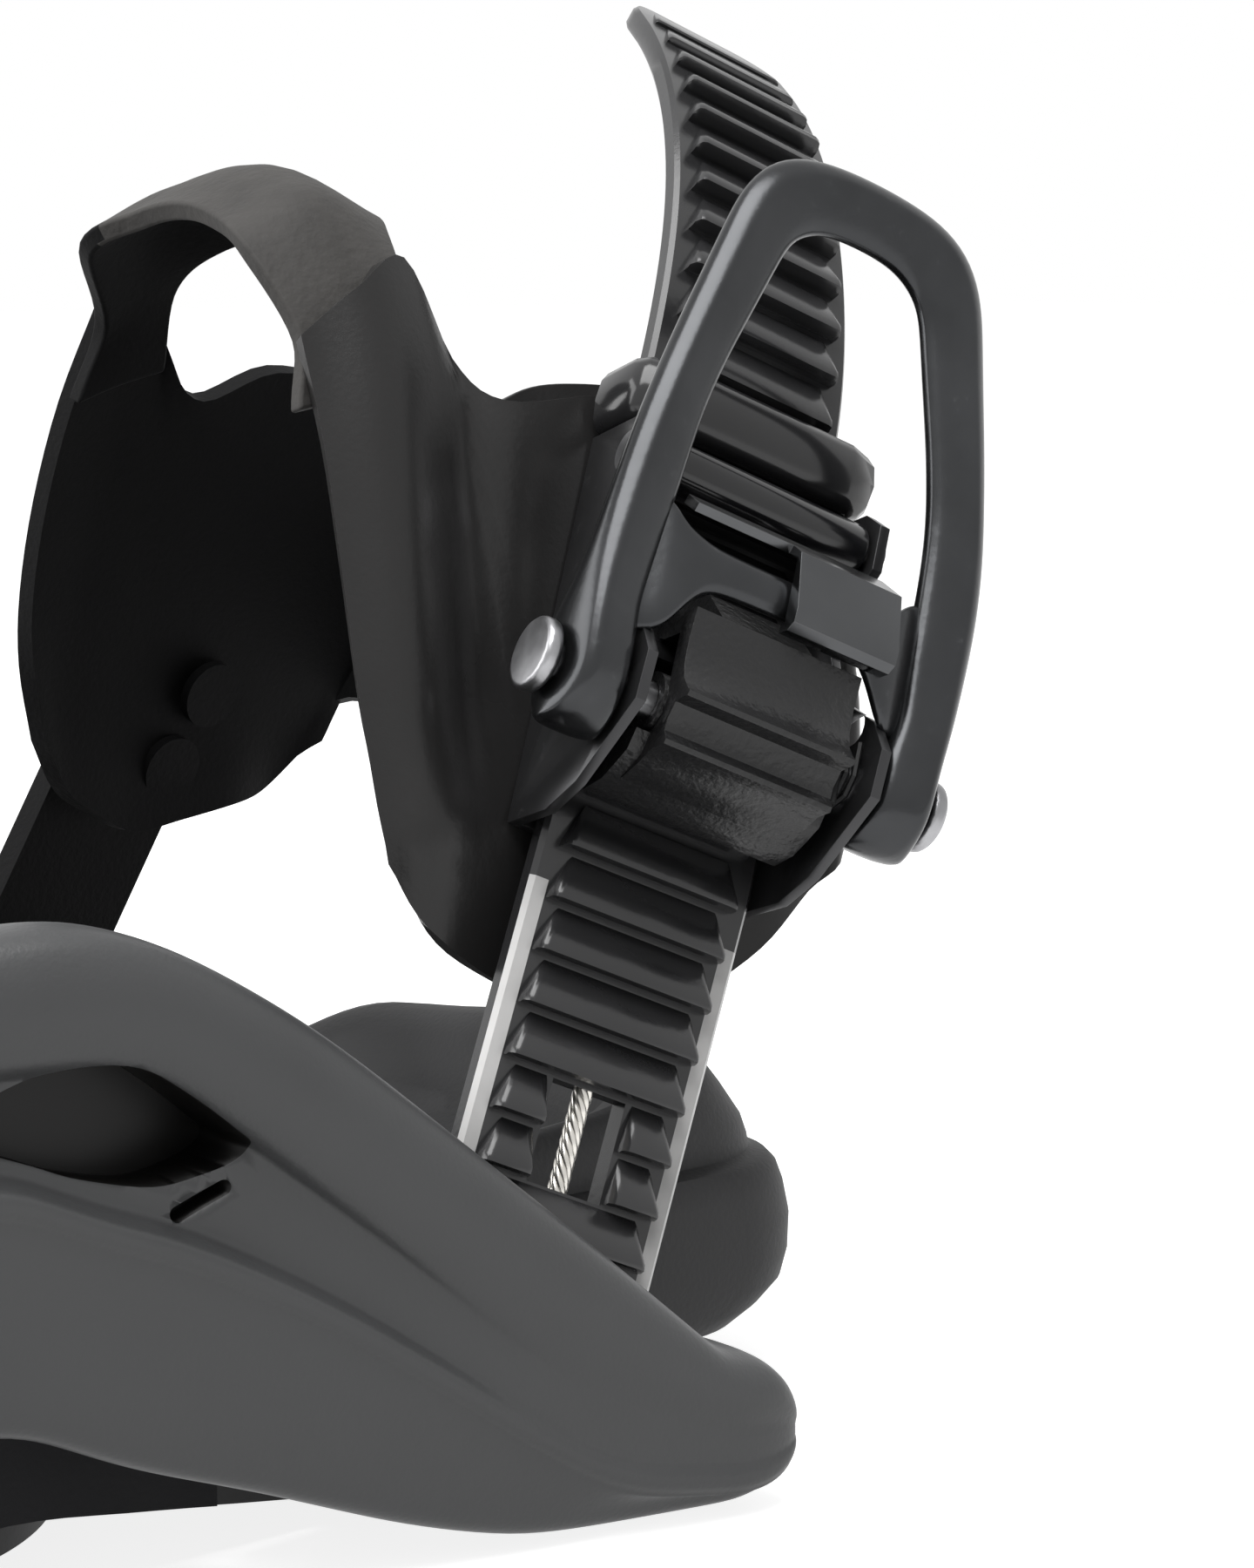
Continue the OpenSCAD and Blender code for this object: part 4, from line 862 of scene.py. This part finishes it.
whole_tooth = tooth("whole_tooth", -TOOTH_HALF, TOOTH_HALF)
split_tooth = joined("split_tooth", [tooth("split_left", -TOOTH_HALF, -SPLIT_IN),
                                     tooth("split_right", SPLIT_IN, TOOTH_HALF)], [])
teeth = run_tree(piece("ladder_teeth_look", tooth_points), tooth_row(),
                 {"Whole tooth": whole_tooth, "Split tooth": split_tooth,
                  "Across": ACROSS, "Finish": FINISHES["ladder"]})
for o in (whole_tooth, split_tooth):
    bpy.data.objects.remove(o)
sharp_by_angle(teeth, 40)
sharp_by_angle(strip, 40)
for mat in ("ladder", "margin_sheen"):
    strip.data.materials.append(FINISHES[mat])
into_strap = STRAP.inverted()
# Painted highlight: outward faces on the strip's margins, nearer the anchor than the buckle, take the light
# grey finish in place of a reflection
for f in strip.data.polygons:
    at = into_strap @ (f.center / MM)
    if abs(at.x) > MARGIN_SHEEN_IN and at.y < MARGIN_SHEEN_END and f.normal.dot(OUTWARDS) > 0.3:
        f.material_index = 1
finish_piece(strip, None, "strap", "ladder")
finish_piece(teeth, "ladder", "strap")


# Wire rope in the ladder's window

def twisted_rope():
    """Strands wound round an axis along Z."""
    t, i, o = nodes_tree("twisted_rope", Strands="Int", Strand_radius="Float", Lay_radius="Float",
                         Length="Float", Turns="Float", Finish="Material")
    wind = add(t, "GeometryNodeCurveSpiral", {"Resolution": 16})
    ring = add(t, "GeometryNodeCurvePrimitiveCircle", {"Resolution": 10})
    sleeve = add(t, "GeometryNodeCurveToMesh", {"Fill Caps": True})
    spots = add(t, "GeometryNodePoints")
    stand = add(t, "GeometryNodeInstanceOnPoints")
    index = add(t, "GeometryNodeInputIndex")
    share = add(t, "ShaderNodeMath", {1: 2 * math.pi}, operation="MULTIPLY")
    step = add(t, "ShaderNodeMath", operation="DIVIDE")
    spin = add(t, "ShaderNodeCombineXYZ")
    euler = add(t, "FunctionNodeEulerToRotation")
    real = add(t, "GeometryNodeRealizeInstances")
    finish = add(t, "GeometryNodeSetMaterial")
    smooth = add(t, "GeometryNodeSetShadeSmooth")
    for a, b in ((i.outputs["Turns"], wind.inputs["Rotations"]),
                 (i.outputs["Lay radius"], wind.inputs["Start Radius"]),
                 (i.outputs["Lay radius"], wind.inputs["End Radius"]),
                 (i.outputs["Length"], wind.inputs["Height"]),
                 (i.outputs["Strand radius"], ring.inputs["Radius"]),
                 (wind.outputs["Curve"], sleeve.inputs["Curve"]),
                 (ring.outputs["Curve"], sleeve.inputs["Profile Curve"]),
                 (i.outputs["Strands"], spots.inputs["Count"]),
                 (index.outputs["Index"], share.inputs[0]),
                 (share.outputs["Value"], step.inputs[0]),
                 (i.outputs["Strands"], step.inputs[1]),
                 (step.outputs["Value"], spin.inputs["Z"]),
                 (spin.outputs["Vector"], euler.inputs["Euler"]),
                 (spots.outputs[0], stand.inputs["Points"]),
                 (sleeve.outputs["Mesh"], stand.inputs["Instance"]),
                 (euler.outputs["Rotation"], stand.inputs["Rotation"]),
                 (stand.outputs["Instances"], real.inputs["Geometry"]),
                 (real.outputs["Geometry"], smooth.inputs[0]),
                 (smooth.outputs[0], finish.inputs["Geometry"]),
                 (i.outputs["Finish"], finish.inputs["Material"]),
                 (finish.outputs["Geometry"], o.inputs["Geometry"])):
        link(t, a, b)
    return t


rope_long = ROPE_LONG + 2 * ROPE_GRIP
rope = run_tree(piece("rope_look", bpy.data.meshes.new("rope_look")), twisted_rope(),
                {"Strands": STRANDS, "Strand radius": STRAND_R * MM, "Lay radius": LAY_R * MM,
                 "Length": rope_long * MM, "Turns": rope_long / LAY_LONG, "Finish": FINISHES["rope"]})
rope_from, _, rope_out = along_ladder(ROPE_FROM - ROPE_GRIP)
place = STRAP @ Matrix.Translation(rope_from + STRIP_T / 2 * rope_out) @ turned("X", -90)
rope.data.transform(Matrix.Scale(MM, 4) @ place @ Matrix.Scale(1 / MM, 4))
finish_piece(rope, "rope", "strap", "cable")


# Lever: a cast yoke of soft ridged bars, from one arm's eye round the top to the other's, and its cross web

ARM_IN = 15.1
BAR_LOW, BAR_TOP = 15.9, 20.1
LEVER_BARS = [
    ((22, 4.3), (ARM_IN, 4.3), 12.9, 15.1), ((22, 5), (ARM_IN, 5), 10.8, 17.2),
    ((22, 6.5), (ARM_IN, 6.5), 9, 19), ((22, 8.5), (ARM_IN, 8.5), 7.9, 20.1),
    ((22.1, 11), (ARM_IN, 11), 7.7, 20.3), ((22.3, 14), (ARM_IN, 14), 9.4, 20.3),
    ((22.4, 17), (15.8, 17.4), 12, 20.2), ((22.5, 20), (15.6, 21), 14, BAR_TOP),
    ((22.4, 25), (15.3, 26), 15.4, BAR_TOP)]
LEVER_BARS += [(outer, inner, BAR_LOW, BAR_TOP) for outer, inner in (
    ((22.1, 31), (15, 31)), ((21.4, 37), (14.6, 37)), ((20.4, 42.5), (13.9, 42)),
    ((19.2, 48.5), (12.6, 47.5)), ((17.8, 54.5), (11, 53)), ((16.5, 60.4), (9.6, 58)),
    ((15.4, 65), (8.6, 61.4)), ((13.2, 69), (7, 63.3)), ((9.6, 71.4), (4.8, 64.5)),
    ((5, 72.3), (2.4, 64.9)), ((0, 72.5), (0, 65)))]
BAR_SECTION = [(0.2, 0, 0), (0.72, 0, 0), (0.94, 0.2, 0), (1, 0.55, 0), (0.9, 1, -0.75), (0.74, 1, -0.1),
               (0.68, 1, 0), (0.6, 1, -0.1), (0.12, 1, -1.1), (-0.03, 1, -2), (0, 0, 0.8)]
LEAN, LEAN_FROM, LEAN_OVER = 1.1, 14, 20
WEB_STEPS = (-17, -16, -15, -14, -13, -12, -10, -8, -4, 0, 4, 8, 10, 12, 13, 14, 15, 16, 17)
web_low = through([(0, 21.9), (8, 21.7), (11, 20), (12.4, 17), (14, 15.6), (17, 15)])
web_high = through([(0, 26.2), (8, 26.3), (11, 26.8), (13, 28), (14.5, 29.6), (17, 31)])
web_top = through([(0, 19.9), (11, 19.8), (14, 19.2), (15.5, 18.4), (17, 17.8)])


def one_side(p, way):
    """An edge point on one arm; the loop leans a little to one side above the eyes."""
    return (way * p[0] + LEAN * clamp((p[1] - LEAN_FROM) / LEAN_OVER), p[1])


def bar_ring(way, outer, inner, low, high):
    """A bar's section between its outer and inner edge, with its ridge nearer the outer one."""
    (op, ob), (ip, ib) = one_side(outer, way), one_side(inner, way)
    return [buckle(ip + u * (op - ip), ib + u * (ob - ib), low + t * (high - low) + d)
            for u, t, d in BAR_SECTION]


def web_ring(p):
    """The cross web's section at a place between the arms."""
    low, high, top = web_low(abs(p)), web_high(abs(p)), web_top(abs(p))
    section = ((low, -1.3), (low + 0.6, -1.7), (high - 0.6, -1.7), (high, -1.2), (high - 0.1, -0.7),
               (high - 0.9, -0.1), (low + 1.2, 0), (low + 0.2, -0.6))
    return [buckle(p, b, top + k) for b, k in section]


bars = [bar_ring(1, *e) for e in LEVER_BARS] + [bar_ring(-1, *e) for e in reversed(LEVER_BARS[:-1])]
loop = subdivided(skin("lever_loop", bars))
web = subdivided(skin("lever_web", [web_ring(p) for p in WEB_STEPS]))
finish_piece(joined("lever_look", [loop, web], []), "lever", "lever", "lever")


# Keeper: a rounded bridge over the ladder above the buckle

KEEPER_FROM, KEEPER_LONG, KEEPER_FOOT = 42.4, 7.5, -1.3
KEEPER_STEPS = ((0, 0.15), (0.06, 0.6), (0.2, 0.88), (0.5, 1), (0.8, 0.88), (0.94, 0.6), (1, 0.15))


def keeper_ring(b, full):
    """The bridge's section across the ladder, thinner towards its two ends along the ladder."""
    wide, high = 13.5 + 2 * full, 5.9 + 2.4 * full
    outside = [(5, high), (11, high), (wide - 0.9, high - 1.2), (wide, high - 3), (wide, KEEPER_FOOT)]
    half = outside + [(13.2, KEEPER_FOOT), (13.2, 4.9), (12.6, 5.6)]
    return [buckle(p, b, k) for p, k in half + [(-p, k) for p, k in reversed(half)]]


keeper = skin("keeper_look", [keeper_ring(KEEPER_FROM + t * KEEPER_LONG, full) for t, full in KEEPER_STEPS])
sharp_by_angle(keeper, 50)
finish_piece(keeper, "keeper", "strap", "ladder_keeper")


# Machined and moulded pieces with rounded edges

rounded("release_pawl", "release_pawl", "pawl", width=0.5, segments=3)
rounded("tongue_plate", "lever", "tongue", width=0.7, segments=4)
rounded("buckle_frame", "strap", "frame", width=0.3, segments=2)
rounded("lever_pin", "strap", "steel", width=0.6, segments=3)
rounded("roller", "roller", "roller", width=0.5, segments=3)


# Stage, light and camera, with lengths in m

FLOOR_GLOW = 0.84
DOME_LOW, DOME_HIGH = 0.14, 0.6
CAMERA_AT = (-0.1671, -0.3394, 0.1245)
CAMERA_TURN, CAMERA_DOWN = math.radians(40), math.radians(8)


def seen(tree):
    """One for camera, glossy and transmission rays, so that what lies behind the object is white."""
    path = add(tree, "ShaderNodeLightPath")
    value = path.outputs["Is Camera Ray"]
    for label in ("Is Glossy Ray", "Is Transmission Ray"):
        either = add(tree, "ShaderNodeMath", operation="MAXIMUM")
        link(tree, value, either.inputs[0])
        link(tree, path.outputs[label], either.inputs[1])
        value = either.outputs["Value"]
    return value


def scaled(tree, value, **limits):
    """A value from 0 to 1, or from other limits, brought between two others."""
    m = add(tree, "ShaderNodeMapRange", {k.replace("_", " "): v for k, v in limits.items()})
    link(tree, value, m.inputs["Value"])
    return m


def area(name, loc, target, size, power):
    """A square lamp that looks at a point."""
    d = bpy.data.lights.new(name, "AREA")
    d.size = size
    d.energy = power
    o = piece(name, d)
    o.location = loc
    o.rotation_euler = (Vector(target) - Vector(loc)).to_track_quat("-Z", "Y").to_euler()


bpy.ops.mesh.primitive_plane_add(size=12, location=(0, 0, -0.0002))
floor = bpy.context.object
floor_pale = bpy.data.materials.new("floor_pale")
floor_pale.use_nodes = True
tree = floor_pale.node_tree
ground = tree.nodes["Principled BSDF"]
for label, value in (("Base Color", (0.5, 0.5, 0.5, 1)), ("Roughness", 1.0), ("Specular IOR Level", 0.0),
                     ("Emission Color", (1, 1, 1, 1))):
    ground.inputs[label].default_value = value
glow = scaled(tree, seen(tree), To_Min=0.0, To_Max=FLOOR_GLOW)
link(tree, glow.outputs["Result"], ground.inputs["Emission Strength"])
floor.data.materials.append(floor_pale)

room = bpy.data.worlds.new("room")
scene.world = room
room.use_nodes = True
tree = room.node_tree
background = tree.nodes["Background"]
background.inputs["Color"].default_value = (1, 1, 1, 1)
direction = add(tree, "ShaderNodeSeparateXYZ")
link(tree, add(tree, "ShaderNodeTexCoord").outputs["Generated"], direction.inputs["Vector"])
dome = scaled(tree, direction.outputs["Z"], From_Min=-0.1, To_Min=DOME_LOW, To_Max=DOME_HIGH)
sky = scaled(tree, seen(tree), To_Max=1.0)
link(tree, dome.outputs["Result"], sky.inputs["To Min"])
link(tree, sky.outputs["Result"], background.inputs["Strength"])

area("key", loc=(-0.25, -0.2, 1.2), target=(0.07, -0.03, 0.07), size=0.9, power=18)
area("left", loc=(-0.55, 0.45, 0.4), target=(0.07, -0.03, 0.09), size=0.6, power=4)

camera_data = bpy.data.cameras.new("camera")
camera_data.lens = 88
camera_data.sensor_width = 36
camera_data.sensor_fit = "AUTO"
camera_data.clip_start = 0.01
camera = piece("camera", camera_data)
camera.matrix_world = (Matrix.Translation(CAMERA_AT) @ Matrix.Rotation(-CAMERA_TURN, 4, "Z")
                       @ Matrix.Rotation(math.pi / 2 - CAMERA_DOWN, 4, "X"))
scene.camera = camera
scene.view_settings.view_transform = "Standard"

bpy.context.view_layer.update()
